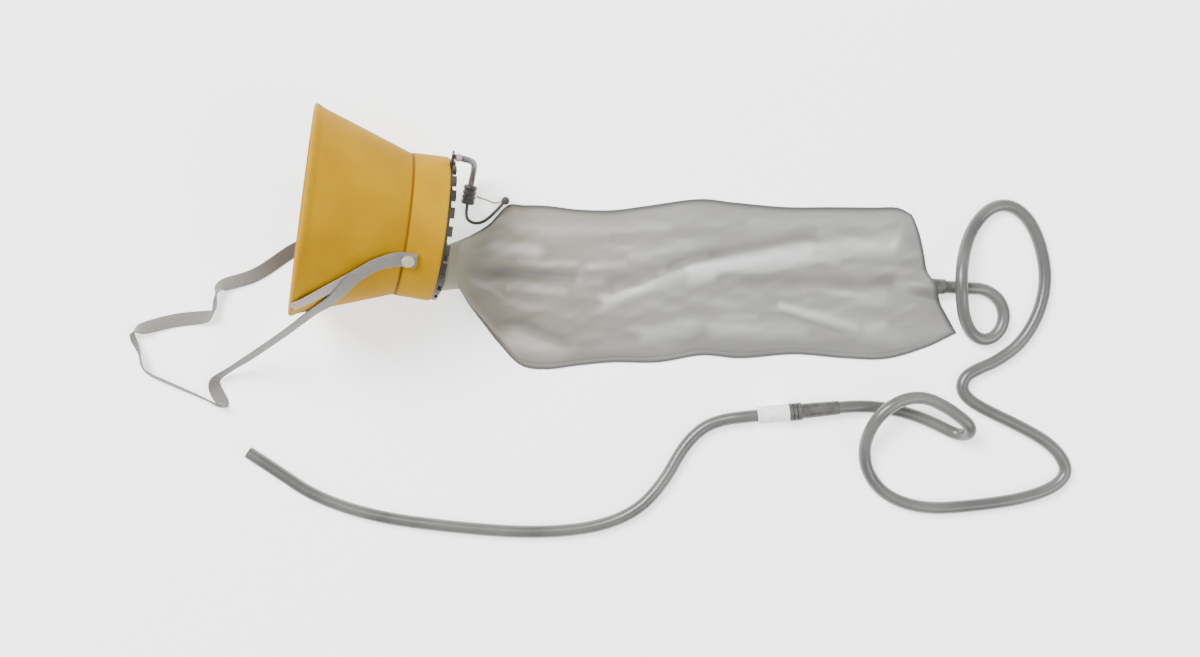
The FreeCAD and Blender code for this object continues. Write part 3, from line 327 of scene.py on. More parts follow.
STRAIGHT_OUT = 8
STRAIGHT_IN = 12
INDICATOR_LENGTH = 45.55
FITTING_END = np.array([182.46, -24.793, 5.25])
FITTING_WAY = heading(-3.8)
INDICATOR_WAY = heading(5.6)
INDICATOR_START = np.array([72.1, -96.3, 5.3])
SLEEVE_END = INDICATOR_START + INDICATOR_WAY * INDICATOR_LENGTH
UPPER_ROUTE = MM * np.array([
    FITTING_END, FITTING_END + FITTING_WAY * STRAIGHT_OUT,
    (199.0, -25.4, 3.7), (207.2, -30.6, 3.5), (210.8, -39.8, 3.5), (208.2, -49.4, 3.5),
    (200.6, -54.8, 3.5), (192.0, -51.6, 5.2), (185.6, -41.6, 11.6), (182.8, -30.6, 17.5),
    (182.6, -17.5, 17.5), (186.0, -3.8, 11.5), (192.8, 9.6, 4.4), (203.0, 20.6, 3.5),
    (214.8, 21.6, 3.5), (224.8, 13.0, 3.5), (231.4, -2.6, 3.5), (234.0, -21.2, 3.5),
    (229.6, -40.4, 3.5), (219.4, -56.6, 3.5), (206.0, -66.2, 3.5), (195.4, -70.4, 3.5),
    (188.4, -74.6, 3.5), (186.2, -81.2, 3.5), (190.2, -87.4, 3.5), (200.6, -93.6, 3.5),
    (216.4, -101.0, 3.5), (233.4, -110.2, 3.5), (242.6, -119.4, 3.5), (245.6, -128.8, 3.5),
    (238.0, -136.8, 3.5), (220.4, -143.0, 3.5), (194.0, -146.8, 3.5), (166.0, -148.8, 3.5),
    (145.0, -142.2, 3.5), (134.0, -129.6, 3.8), (130.8, -115.8, 7.6), (132.8, -104.0, 13.6),
    (139.4, -93.4, 17.5), (151.0, -86.2, 17.5), (163.4, -85.4, 17.5), (174.6, -91.0, 17.5),
    (182.4, -96.6, 17.5), (187.0, -100.8, 17.2), (188.8, -105.0, 13.4), (187.0, -107.2, 7.6),
    (181.8, -106.2, 3.6), (173.4, -101.8, 3.5), (161.6, -96.6, 3.5), (147.4, -92.6, 3.8),
    SLEEVE_END + INDICATOR_WAY * STRAIGHT_IN, SLEEVE_END])
LOWER_ROUTE = MM * np.array([
    INDICATOR_START, INDICATOR_START - INDICATOR_WAY * STRAIGHT_OUT,
    (52.0, -98.8, 3.8), (41.0, -103.4, 3.5), (30.4, -114.4, 3.5), (20.2, -133.2, 3.5),
    (5.4, -149.8, 3.5), (-18.6, -159.4, 3.5), (-55.0, -162.2, 3.5), (-98.6, -158.8, 3.5),
    (-141.6, -153.2, 3.5), (-175.2, -142.0, 3.5), (-196.0, -127.8, 3.5),
    (-212.6, -117.0, 3.5)])
print("upper hose %.3f m" % distances(line_points(UPPER_ROUTE))[-1])
print("lower hose %.3f m" % distances(line_points(LOWER_ROUTE))[-1])

# %% Hoses
HOSE_RADIUS = 3.5 * MM
upper_hose = finish_piece(spline_object("upper_hose", UPPER_ROUTE, HOSE_RADIUS),
                          vinyl)
lower_hose = finish_piece(spline_object("lower_hose", LOWER_ROUTE, HOSE_RADIUS),
                          vinyl)
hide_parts("hose_upper")
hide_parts("hose_lower")
print("hose radius %.1f mm" % (HOSE_RADIUS / MM))

# %% [markdown]
# ## Surfaces from numpy
# Most new pieces are grids: rows along a path or a turn, columns round a section. Modelling
# by hand would be quicker once, but a formula can be corrected by one number. One function
# makes the mesh from the whole array, joins the rows or columns where they close, and caps a
# tube's ends.


# %% A mesh from a grid of points
def grid_object(name, grid, close_rows=False, close_columns=False, caps=False, uv=None):
    """Quads between neighbours of an (n, m, 3) grid; caps are one face over each end row."""
    rows, columns = grid.shape[:2]
    index = np.arange(rows * columns).reshape(rows, columns)
    down = np.vstack([index, index[:1]]) if close_rows else index
    both = np.hstack([down, down[:, :1]]) if close_columns else down
    quads = np.stack([both[:-1, :-1], both[:-1, 1:], both[1:, 1:], both[1:, :-1]], axis=-1)
    faces = quads.reshape(-1, 4).tolist()
    if caps:
        faces.append(index[0][::-1].tolist())
        faces.append(index[-1].tolist())
    mesh = bpy.data.meshes.new(name)
    mesh.from_pydata(grid.reshape(-1, 3).tolist(), [], faces)
    if uv is not None:
        corner = np.empty(len(mesh.loops), dtype=int)
        mesh.loops.foreach_get("vertex_index", corner)
        layer = mesh.uv_layers.new(name="surface")
        layer.data.foreach_set("uv", uv.reshape(-1, 2)[corner].ravel())
    mesh.polygons.foreach_set("use_smooth", np.ones(len(mesh.polygons), dtype=bool))
    made = bpy.data.objects.new(name, mesh)
    bpy.context.scene.collection.objects.link(made)
    return made


def unit(vectors):
    """Each vector over its own length."""
    return vectors / np.linalg.norm(vectors, axis=-1, keepdims=True)


def smooth_through(values, steps):
    """Catmull-Rom: between two knots, a cubic whose slopes are half the step across them."""
    knots = np.asarray(values, dtype=float)
    padded_knots = np.vstack([2 * knots[:1] - knots[1:2], knots, 2 * knots[-1:] - knots[-2:-1]])
    place = np.linspace(0, len(knots) - 1, steps)
    cell = np.minimum(place.astype(int), len(knots) - 2)
    t = (place - cell)[:, None]
    a, b, c, d = (padded_knots[cell + i] for i in range(4))
    return 0.5 * (2 * b + (c - a) * t + (2 * a - 5 * b + 4 * c - d) * t ** 2
                  + (3 * b - a - 3 * c + d) * t ** 3)


sample = smooth_through([(0, 0), (1, 1), (2, 0)], 5)
print("halfway to a knot one up, the smooth line is at %.3f" % sample[1, 1])

# %% [markdown]
# ## The mask's own axes
# The cone lies on its rim and on the end of its band, so its axis dips towards the bag. The
# dip, the turn and the roll give three directions that place everything on it.

# %% Mask axes
MOUTH_RADIUS = 56.0
CREASE_RADIUS = 37.6
BAND_END_RADIUS = 38.8
BELL_LENGTH = 53.0
BAND_LENGTH = 19.0
CUP_LENGTH = BELL_LENGTH + BAND_LENGTH
RIM_ROUND = 1.5
WALL = 2.0
PLATE_BACK = 66.0
drop = MOUTH_RADIUS - RIM_ROUND - BAND_END_RADIUS
run = CUP_LENGTH - RIM_ROUND
TILT = math.atan2(drop, run) + math.asin(RIM_ROUND / math.hypot(drop, run))
YAW = math.radians(-7.3)
ROLL = math.radians(30.0)
MOUTH_XY = (-171.6, 14.3)
MOUTH_CENTRE = np.array([*MOUTH_XY, CUP_LENGTH * math.sin(TILT)
                         + BAND_END_RADIUS * math.cos(TILT)])
AXIS = np.array([math.cos(TILT) * math.cos(YAW), math.cos(TILT) * math.sin(YAW), -math.sin(TILT)])
UPWARD = np.array([math.sin(TILT) * math.cos(YAW), math.sin(TILT) * math.sin(YAW), math.cos(TILT)])
ACROSS = np.array([-math.sin(YAW), math.cos(YAW), 0.0])
print("tilt %.2f degrees" % math.degrees(TILT))


def on_mask(axial, angle, radius):
    """A place in metres: the mouth's centre, plus axial millimetres along the axis, plus radius
    millimetres outwards, in the direction that is so many radians past the far stud."""
    axial, angle, radius = np.broadcast_arrays(axial, angle, radius)
    turn = angle + math.pi + ROLL
    outward = np.cos(turn)[..., None] * UPWARD - np.sin(turn)[..., None] * ACROSS
    return MM * (MOUTH_CENTRE + axial[..., None] * AXIS + radius[..., None] * outward)


def cup_radius(axial):
    """The cone's outside radius: straight from the mouth to the crease, then the band."""
    return np.interp(axial, [0, BELL_LENGTH, CUP_LENGTH],
                     [MOUTH_RADIUS, CREASE_RADIUS, BAND_END_RADIUS])


# %% [markdown]
# ## The silicone cone
# A liquid silicone moulding: one wall, a flat soft lip, a crease where the band starts. Cones
# and rings could be joined and bevelled, but a single profile turned about the axis gives wall,
# lip, band and ledge as one closed surface. The profile is sampled finely and eased by a
# running mean, which rounds every corner by about half a millimetre, as a mould does.


# %% Cone profile
def eased_outline(corners, spacing, ease):
    """A closed outline at even spacing, each point the mean of ease neighbours each side."""
    closed = np.vstack([corners, corners[:1]])
    length = distances(closed)
    count = int(length[-1] / spacing)
    places = np.linspace(0, length[-1], count, endpoint=False)
    even = np.column_stack([np.interp(places, length, closed[:, i]) for i in range(2)])
    return sum(np.roll(even, shift, axis=0) for shift in range(-ease, ease + 1)) / (2 * ease + 1)


BAND_WALL = WALL + 0.5
LEDGE_DEPTH = 2.6
BAND_INNER = BAND_END_RADIUS - BAND_WALL
LEDGE_INNER = BAND_INNER - LEDGE_DEPTH
PROFILE_STEP = 0.6
PROFILE_EASE = 1
# Radius and distance from the mouth, in millimetres: over the outside, and back inside
cone_outline = np.array([
    (MOUTH_RADIUS - 3.0, 0.05), (MOUTH_RADIUS - 1.4, 0.0), (MOUTH_RADIUS - 0.1, 0.9),
    (MOUTH_RADIUS - 0.3, 2.4), (MOUTH_RADIUS - 1.9, 5.0), (46.4, 27.6),
    (CREASE_RADIUS, BELL_LENGTH), (CREASE_RADIUS + 0.45, BELL_LENGTH + 0.3),
    (CREASE_RADIUS + 0.55, BELL_LENGTH + 1.2),
    (BAND_END_RADIUS, CUP_LENGTH), (BAND_INNER, CUP_LENGTH), (BAND_INNER, PLATE_BACK),
    (LEDGE_INNER, PLATE_BACK), (LEDGE_INNER, PLATE_BACK - 2),
    (CREASE_RADIUS - WALL, PLATE_BACK - 4), (CREASE_RADIUS - WALL - 0.1, BELL_LENGTH),
    (44.2, 27.6), (MOUTH_RADIUS - 4.1, 5.0)])
cone_profile = eased_outline(cone_outline, PROFILE_STEP, PROFILE_EASE)
print("profile points", len(cone_profile))

# %% [markdown]
# ### Turning the profile
# The profile goes round the axis in even turns. Real silicone never lies quite round, so a few
# shallow waves run round the lip and fade up the wall. The grid also carries where each point
# is along the axis, which the finish needs to find the crease.

# %% Cone surface
CONE_TURNS = 240
LIP_FADE = 14.0
PROFILE_INSET = 0.12
# Waves round the lip: how many, their height in millimetres, and their phase
LIP_WAVES = [(3, 0.064, 0.6), (5, 0.04, 2.0)]
around = np.linspace(0, 2 * math.pi, CONE_TURNS, endpoint=False)
waves = sum(rise * np.sin(count * around[:, None] + phase) for count, rise, phase in LIP_WAVES)
softness = waves * np.exp(-cone_profile[:, 1] / LIP_FADE)
cone_grid = on_mask(cone_profile[None, :, 1], around[:, None],
                    cone_profile[None, :, 0] - PROFILE_INSET + softness)
cone_uv = np.stack(np.broadcast_arrays(MM * cone_profile[None, :, 1], around[:, None]), axis=-1)
cone = grid_object("silicone_cone", cone_grid, close_rows=True, close_columns=True, uv=cone_uv)
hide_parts("facepiece")
print("cone faces", len(cone.data.polygons))

# %% [markdown]
# ### Silicone
# The rubber is filled with yellow pigment, so it is nearly opaque, with a waxy sheen and no
# sharp gloss. A coat or a high gloss would lay a white veil over the yellow. So the gloss is
# low, and a little light goes into the wall. Along the crease, at a known distance from the
# mouth, a darker line of painted shade stands for the shadow in the groove.

# %% Moulded silicone
# Liquid silicone rubber, injection moulded and pigmented yellow: a waxy sheen over a colour
# that glows a little where light gets into the wall, with painted shade darkening the crease.
# The mould's grain is finer than the render shows, so it is drawn at 1.2 mm.
silicone, silicone_tree, silicone_shader = new_material(
    "moulded_silicone", Roughness=0.62, IOR=1.41, Subsurface_Weight=0.1,
    Subsurface_Scale=2 * MM, Specular_IOR_Level=0.07)
yellow = two_tones(silicone_tree, 25 * MM, "#a07600", "#ab8100", detail=2.0)
from_mouth = add(silicone_tree, "ShaderNodeSeparateXYZ",
                 Vector=add(silicone_tree, "ShaderNodeTexCoord").outputs["UV"]).outputs["X"]
past_crease = add(silicone_tree, "ShaderNodeMath", {"operation": "SUBTRACT"}, _0=from_mouth,
                  _1=BELL_LENGTH * MM).outputs["Value"]
from_crease = add(silicone_tree, "ShaderNodeMath", {"operation": "ABSOLUTE"},
                  _0=past_crease).outputs["Value"]
# Painted shade: within about a millimetre of the crease the yellow darkens to #6b4700.
silicone_tree.links.new(
    blend(silicone_tree, from_crease, 0.3 * MM, 1.1 * MM, "#6b4700", yellow),
    silicone_shader.inputs["Base Color"])
grain(silicone_tree, silicone_shader, 1.2 * MM, 0.06 * MM)
finish_piece(cone, silicone)
print(silicone.name, "nodes", len(silicone_tree.nodes))

# %% [markdown]
# ## The elastic strap
# One length of flat knitted elastic. Its tail lies on the cone under the strap, folds back
# round the near stud, drops to the table, stands on edge there, folds twice and runs back
# under the rim to the far stud. A curve with a flat bevel would twist where it liked, so each
# point of the route gets the direction of the band's width as well. On the cone it follows the
# wall; on the table it is a listed turn, read from how wide the band looks in the picture.

# %% Strap route
STRAP_WIDTH = 7.7 * MM
STRAP_THICKNESS = 1.0 * MM
HALF_BAND = STRAP_THICKNESS / MM / 2
STUD_PAST_CREASE = 2.2
STUD_HEAD_RADIUS = 3.3
STUD_AXIAL = BELL_LENGTH + STUD_PAST_CREASE
LAYER_GAP = 0.3
FOLD_BULGE = 0.6
HEAD_CLEAR = STUD_HEAD_RADIUS + LAYER_GAP
TAIL_HEIGHT = HALF_BAND + 2 * LAYER_GAP
MAIN_HEIGHT = TAIL_HEIGHT + 2 * HALF_BAND + LAYER_GAP
NEAR_STUD = math.pi
FAR_STUD = 0.0
# On the cone: share of the way from the mouth to the stud, and degrees past the stud
TAIL = [(0.03, 34.0), (0.13, 30.0), (0.24, 25.0), (0.34, 20.5), (0.45, 16.0), (0.56, 11.0),
        (0.67, 6.0), (0.79, 2.0), (0.87, 0.0)]
MAIN = [(0.87, 0.0), (0.79, 1.0), (0.67, 4.5), (0.56, 11.0), (0.48, 18.0), (0.42, 26.0)]
FAR = [(0.68, -10.0), (0.81, -4.0), (0.88, 0.0)]
# Under the studs' heads: distance past the stud, and height over the cone
FOLD = [(-HEAD_CLEAR, TAIL_HEIGHT), (0, TAIL_HEIGHT), (HEAD_CLEAR, TAIL_HEIGHT),
        (HEAD_CLEAR + FOLD_BULGE, (TAIL_HEIGHT + MAIN_HEIGHT) / 2), (HEAD_CLEAR, MAIN_HEIGHT),
        (0, MAIN_HEIGHT), (-HEAD_CLEAR, MAIN_HEIGHT)]
FAR_END = [(-HEAD_CLEAR, TAIL_HEIGHT), (0, TAIL_HEIGHT), (HEAD_CLEAR, TAIL_HEIGHT)]
# Free run: x, y, height of the middle of the band, and its turn about its own length
STRAP_FREE = np.array([
    (-156.0, -35.6, 69.0, -62.0), (-163.6, -39.0, 61.5, -72.0), (-173.0, -44.4, 51.5, -73.0),
    (-185.0, -51.2, 39.5, -73.0), (-197.6, -57.8, 27.0, -73.0), (-209.6, -64.2, 15.8, -73.0),
    (-220.4, -69.8, 8.0, -78.0), (-228.0, -73.8, 4.8, -72.0), (-231.4, -76.8, 4.1, -60.0),
    (-231.8, -80.2, 3.2, -42.0), (-230.2, -84.2, 2.6, -30.0), (-227.6, -88.0, 3.0, -42.0),
    (-225.6, -90.6, 3.9, -75.0), (-226.2, -91.8, 4.1, -88.0), (-229.0, -91.0, 4.1, -90.0),
    (-236.0, -87.4, 4.1, -76.0), (-247.0, -82.6, 4.1, -72.0), (-259.0, -77.4, 4.1, -71.0),
    (-267.0, -74.0, 4.1, -71.0), (-271.0, -71.0, 4.0, -74.0), (-272.8, -66.8, 3.8, -66.0),
    (-273.2, -62.0, 3.9, -76.0), (-274.8, -57.6, 4.0, -90.0), (-276.8, -53.6, 4.1, -96.0),
    (-277.4, -50.6, 4.1, -90.0), (-275.8, -48.8, 3.9, -70.0), (-272.6, -47.8, 2.8, -36.0),
    (-268.0, -46.6, 1.5, -14.0), (-260.0, -44.4, 0.9, -4.0), (-252.0, -42.8, 0.9, 0.0),
    (-243.6, -41.9, 0.9, -4.0), (-237.6, -41.4, 1.5, -14.0), (-234.0, -40.6, 2.8, -38.0),
    (-232.0, -38.8, 3.8, -70.0), (-231.2, -35.6, 4.1, -88.0), (-230.8, -30.4, 4.1, -86.0),
    (-230.2, -26.6, 3.9, -70.0), (-228.6, -24.2, 2.8, -42.0), (-225.0, -22.6, 1.6, -16.0),
    (-219.0, -21.0, 0.9, -4.0), (-211.0, -18.6, 0.8, 0.0), (-203.0, -14.2, 0.8, 0.0),
    (-195.6, -8.8, 0.75, 0.0), (-188.0, -3.6, 0.7, 0.0), (-178.0, 0.8, 0.7, 0.0),
    (-166.0, 5.6, 0.7, 2.0), (-154.0, 11.4, 1.1, 8.0)])
print("typed points of the free run", len(STRAP_FREE))


# %% Places and width directions
def band_on_cone(stations, stud, height):
    """Places on the cone, and width directions: the path's direction crossed with the one that
    stands square to the cone's wall."""
    share, past = np.array(stations).T
    axial, angle = share * STUD_AXIAL, stud + np.radians(past)
    place = on_mask(axial, angle, cup_radius(axial) + height)
    slope = (CREASE_RADIUS - MOUTH_RADIUS) / BELL_LENGTH
    wall = unit(place - on_mask(axial, angle, 0.0)) - slope * AXIS
    return place, unit(np.cross(np.gradient(place, axis=0), wall))


def band_under_head(stations, stud):
    """Places level with the stud, and one width direction for all of them: sideways round the
    cone, which is the outward direction a quarter turn past the stud."""
    past, height = np.array(stations).T
    place = on_mask(STUD_AXIAL + past, stud, cup_radius(STUD_AXIAL) + height)
    sideways = unit(on_mask(0.0, stud + math.pi / 2, 1.0) - on_mask(0.0, stud, 0.0))
    return place, np.repeat(sideways[None], len(past), axis=0)


def band_on_table(before, after):
    """The free run's places, and width directions: level ones times the cosine of the listed turn
    plus rising ones times its sine."""
    place = MM * STRAP_FREE[:, :3]
    along = unit(np.gradient(np.vstack([before, place, after]), axis=0)[1:-1])
    level = unit(np.cross([0.0, 0.0, 1.0], along))
    rising = np.cross(along, level)
    turn = np.radians(STRAP_FREE[:, 3])[:, None]
    return place, level * np.cos(turn) + rising * np.sin(turn)


print("cone's radius at the studs %.1f mm" % cup_radius(STUD_AXIAL))

# %% Strap runs in order
main_run = band_on_cone(MAIN, NEAR_STUD, MAIN_HEIGHT)
far_run = band_on_cone(FAR, FAR_STUD, TAIL_HEIGHT)
strap_runs = [
    band_on_cone(TAIL, NEAR_STUD, TAIL_HEIGHT), band_under_head(FOLD, NEAR_STUD), main_run,
    band_on_table(main_run[0][-1], far_run[0][0]), far_run, band_under_head(FAR_END, FAR_STUD)]
strap_route = np.vstack([place for place, across in strap_runs])
strap_across = np.vstack([across for place, across in strap_runs])
# Each width direction keeps to the side of the one before
same_side = np.sum(strap_across[1:] * strap_across[:-1], axis=1) > 0
strap_across[1:] *= np.cumprod(np.where(same_side, 1.0, -1.0))[:, None]
print("strap points", len(strap_route))

# %% [markdown]
# ### From the route to the band
# The route's NURBS line is read back, and the width directions are spread along it and made
# square to it. A thin section is then carried along. It is a flat oval: the cosine and sine of
# a circle, raised to a low power, give round edges and flat faces with no bevel to clean up.

# %% Strap line
STRAP_STEPS = 6
strap_line = line_points(strap_route, steps=STRAP_STEPS)
where = np.linspace(0, len(strap_route) - 1, len(strap_line))
line_across = np.column_stack([np.interp(where, np.arange(len(strap_route)), strap_across[:, i])
                               for i in range(3)])
line_along = unit(np.gradient(strap_line, axis=0))
line_across = unit(line_across - line_along * np.sum(line_across * line_along, axis=1)[:, None])
line_through = np.cross(line_across, line_along)
print("strap line points", len(strap_line))

# %% Strap surface
SECTION_POINTS = 20
EDGE_POWER = 0.55
section_angle = np.linspace(0, 2 * math.pi, SECTION_POINTS, endpoint=False)
circle = np.stack([np.cos(section_angle), np.sin(section_angle)])
section_across, section_through = np.sign(circle) * np.abs(circle) ** EDGE_POWER
half_across = section_across * STRAP_WIDTH / 2
half_through = section_through * STRAP_THICKNESS / 2
strap_grid = (strap_line[:, None] + line_across[:, None] * half_across[:, None]
              + line_through[:, None] * half_through[:, None])
strap_length = distances(strap_line)
strap_uv = np.stack(np.broadcast_arrays(half_across[None, :], strap_length[:, None]), axis=-1)
strap = grid_object("elastic_band", strap_grid, close_columns=True, caps=True, uv=strap_uv)
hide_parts("elastic_strap")
print("strap length %.3f m" % strap_length[-1])

# %% [markdown]
# ### Knitted elastic
# Such a band is polyester knitted over rubber cores. Threads of real geometry would be far too
# fine, so two wave patterns on the band's own UV map, ribs along it and loops across, are
# multiplied to give the knit. Its free tail is cleaner and paler, and the end in the cone's
# shade is painted darker, as painted shade with a brown tint, so three colourings follow each
# other along the band.

# %% Knitted elastic
# Polyester knitted over rubber cores: rows of ribs along it, loops across, a dull sheen. The
# real threads are finer than the render shows, so ribs and loops are drawn this far apart.
RIB_SPACING = 0.9 * MM
LOOP_SPACING = 0.8 * MM
KNIT_RELIEF = 0.2 * MM
KNIT_WAVER = 0.4
# The knit is all hollow under the first of these, and all top over the second
KNIT_TONES = (0.1, 0.7)
# Along the band: where the pale tail turns clean, and where the clean run turns to painted shade
# with a brown tint
PALE_TO_CLEAN = (20 * MM, 40 * MM)
CLEAN_TO_SHADED_BROWN = (395 * MM, 425 * MM)
# A wave texture of scale 1 repeats at this distance
WAVE_REPEAT = 2 * math.pi / 20
elastic, elastic_tree, elastic_shader = new_material(
    "knitted_elastic", Roughness=0.75, Sheen_Weight=0.3, Sheen_Roughness=0.5,
    Specular_IOR_Level=0.3)
strap_place = add(elastic_tree, "ShaderNodeTexCoord").outputs["UV"]
ribs, loops = (add(elastic_tree, "ShaderNodeTexWave", {"bands_direction": direction},
                   Vector=strap_place, Scale=WAVE_REPEAT / spacing,
                   Distortion=KNIT_WAVER).outputs["Fac"]
               for direction, spacing in (("X", RIB_SPACING), ("Y", LOOP_SPACING)))
knit = add(elastic_tree, "ShaderNodeMath", {"operation": "MULTIPLY"},
           _0=ribs, _1=loops).outputs["Value"]
# Each colouring goes from the hollows of the knit to its tops
pale, clean, shaded_brown = (
    blend(elastic_tree, knit, *KNIT_TONES, hollow, top)
    for hollow, top in (("#8f827d", "#c9bcb7"), ("#6a6661", "#95938e"), ("#46403a", "#6a635a")))
along_strap = add(elastic_tree, "ShaderNodeSeparateXYZ", Vector=strap_place).outputs["Y"]
tail_colour = blend(elastic_tree, along_strap, *PALE_TO_CLEAN, pale, clean)
# Painted shade with a brown tint: the band darkens where it runs under the cone's rim.
strap_colour = blend(elastic_tree, along_strap, *CLEAN_TO_SHADED_BROWN, tail_colour, shaded_brown)
elastic_tree.links.new(strap_colour, elastic_shader.inputs["Base Color"])
raised_knit = add(elastic_tree, "ShaderNodeBump", Height=knit, Distance=KNIT_RELIEF, Strength=1.0)
elastic_tree.links.new(raised_knit.outputs["Normal"], elastic_shader.inputs["Normal"])
finish_piece(strap, elastic)
print("ribs across the band %.1f" % (STRAP_WIDTH / RIB_SPACING))

# %% [markdown]
# ## The reservoir bag
# Two clear films welded at the edge, with a little gas left inside. It lies flat and slack:
# long soft folds run from the neck to the far end and a few sharp creases cross them. A cloth
# simulation would make folds, but not these, so the bag is a worked-out surface: stations
# along it give both seams, the height of the film and how slack it is, and listed folds follow
# the picture.

# %% Bag outline
# Far seam's x and y, near seam's x and y, height of the film and height of its underside, all
# in millimetres, and slackness from 0, taut, to 1
BAG_STATIONS = np.array([
    (-91.0, 1.2, -92.6, -26.0, 23.0, 9.0, 0.0),
    (-85.8, 4.7, -88.0, -35.0, 22.0, 3.0, 0.25),
    (-77.5, 10.9, -80.8, -45.2, 19.0, 0.6, 0.6),
    (-67.9, 21.3, -72.4, -56.4, 15.5, 0.0, 1.0),
    (-58.2, 21.6, -60.7, -68.2, 13.5, 0.0, 1.0),
    (-45.0, 21.2, -46.5, -70.7, 12.5, 0.0, 1.0),
    (-28.3, 19.2, -28.3, -68.6, 12.0, 0.0, 1.0),
    (-9.1, 18.8, -8.5, -66.8, 11.5, 0.0, 1.0),
    (10.4, 21.2, 16.5, -66.8, 11.0, 0.0, 1.0),
    (39.2, 25.0, 41.3, -62.9, 10.5, 0.0, 1.0),
    (60.0, 23.1, 63.5, -64.5, 10.5, 0.0, 1.0),
    (87.7, 20.6, 93.0, -62.3, 10.0, 0.0, 1.0),
    (114.9, 20.5, 121.6, -64.5, 9.5, 0.0, 1.0),
    (136.6, 20.3, 144.7, -64.8, 8.5, 0.0, 1.0),
    (151.0, 20.2, 167.0, -58.5, 5.5, 0.0, 1.0),
    (159.3, 16.4, 184.4, -50.3, 0.4, 0.0, 1.0)])
BAG_FLOOR = 0.1
BAG_ROWS = 420
END_HOLLOW = 4.0
CORNER_FULLNESS = 1.6
HOLLOW_POWER = 8


def bag_rows():
    """The stations joined smoothly: far seam, near seam, height, underside and slackness."""
    rows = smooth_through(BAG_STATIONS, BAG_ROWS)
    return rows[:, 0:2], rows[:, 2:4], rows[:, 4:5], rows[:, 5:6], np.clip(rows[:, 6:7], 0, 1)


def level_places(far, near, s):
    """Places between the seams, where s is 1 at the far one and -1 at the near one. The bag's
    end is cut in a hollow, 1 - s ** 2, shallower at the far corner and only in the last rows."""
    x = (far + near)[:, :1] / 2 + (far - near)[:, :1] / 2 * s
    y = (far + near)[:, 1:] / 2 + (far - near)[:, 1:] / 2 * s
    hollow = END_HOLLOW * (1 - s ** 2) * (1 - CORNER_FULLNESS * np.clip(s, 0, 1))
    return x - hollow * np.linspace(0, 1, BAG_ROWS)[:, None] ** HOLLOW_POWER, y


print("bag stations", len(BAG_STATIONS), "joined by rows", BAG_ROWS)

# %% [markdown]
# ### Folds
# A fold could be sculpted, but a formula can be corrected: each is a line with a bell-shaped
# section, raised for a ridge or lowered for a valley. Where folds meet end to end their heights
# would add up to a lump, so only the highest ridge and the deepest valley at a place count.
# Fine wrinkles are waves of random slant and length over all of it.

# %% Bag folds
# Both ends of each fold, its half width, and the height of a ridge or, where it is less than
# 0, the depth of a valley, in millimetres. The main folds are in the part's solid too.
MAIN_FOLDS = np.array([
    (23.0, -13.0, 56.0, -3.5, 3.5, -1.8), (56.0, -3.5, 104.0, 4.6, 3.5, -1.8),
    (36.0, -16.0, 100.0, -5.0, 6.0, 2.2), (100.0, -5.0, 146.0, 0.0, 6.0, 1.4),
    (-12.0, -33.0, 14.0, -23.0, 3.5, 1.6), (14.0, -23.0, 36.0, -16.0, 4.0, 1.2),
    (-8.0, -22.0, 23.0, -13.0, 4.0, -1.2), (-88.0, -15.9, -30.0, -19.5, 3.0, -1.6),
    (-78.0, -43.0, -56.0, -46.0, 3.5, -2.0), (-56.0, -46.0, -36.0, -56.0, 3.5, -2.0),
    (-66.0, -56.0, -38.0, -62.0, 6.5, 2.6), (86.0, -36.0, 126.0, -47.5, 3.0, 1.6),
    (52.0, -21.0, 146.0, -21.5, 4.0, -1.4), (10.0, -53.0, 34.0, -49.0, 5.0, 1.4),
    (48.0, -49.0, 96.0, -51.0, 4.0, 1.3), (-60.0, 8.0, 20.0, 10.0, 5.0, 1.0),
    (-74.0, -2.0, -52.0, -5.0, 5.0, 1.2), (70.0, 12.5, 146.0, 13.5, 4.0, 1.2),
    (134.0, -50.0, 150.0, -54.0, 5.0, 1.0)])
SMALL_FOLDS = np.array([
    (46.0, -7.0, 100.0, 3.6, 1.5, -0.9), (-9.0, -27.5, 16.0, -18.0, 1.4, -0.6),
    (-20.0, -13.9, -2.0, -11.5, 2.2, 0.7), (2.0, -8.0, 34.0, -3.0, 2.4, 0.7),
    (-28.0, 14.5, 24.0, 15.0, 1.8, -0.5), (-8.0, 4.0, 56.0, 7.5, 1.8, -0.5),
    (60.0, -57.5, 122.0, -58.0, 1.8, -0.5), (98.0, -26.0, 142.0, -30.0, 2.6, 0.6),
    (119.0, -10.9, 158.0, -11.5, 1.4, -0.7), (52.0, -41.5, 70.0, -41.5, 1.6, 0.7),
    (-66.0, -26.0, -36.0, -27.5, 2.6, 0.6), (-60.0, -10.5, -30.0, -12.0, 2.0, 0.5),
    (86.0, -40.0, 118.0, -50.5, 1.6, -0.6), (-30.0, -60.0, 6.0, -60.0, 2.2, 0.5),
    (148.0, -2.0, 154.0, 10.0, 2.2, 0.7), (-84.0, -6.0, -74.0, -2.0, 2.0, 0.6),
    (-84.0, -22.0, -70.0, -30.0, 2.0, 0.6), (128.0, -56.0, 142.0, -46.0, 2.4, 0.6)])


def fold_height(x, y, folds):
    """Each fold is height times exp(-(distance / half width) ** 2), and the highest ridge and
    the deepest valley at a place are added."""
    ridge = np.zeros_like(x)
    valley = np.zeros_like(x)
    for x0, y0, x1, y1, width, size in folds:
        run = np.array([x1 - x0, y1 - y0])
        share = np.clip(((x - x0) * run[0] + (y - y0) * run[1]) / (run @ run), 0, 1)
        away = np.hypot(x - x0 - share * run[0], y - y0 - share * run[1])
        fold = size * np.exp(-(away / width) ** 2)
        ridge = np.maximum(ridge, fold)
        valley = np.minimum(valley, fold)
    return ridge + valley


print("main folds", len(MAIN_FOLDS), "small folds", len(SMALL_FOLDS))

# %% Fine wrinkles
WRINKLE_WAVES = 26
WRINKLE_SEED = 4
WRINKLE_SLANT = 0.35
WRINKLE_LENGTHS = (5.0, 16.0)
SLANT_SHARE = 0.7
SWAY = 1.3
SWAY_LENGTH = 23.0
WRINKLE_HEIGHT = 0.05


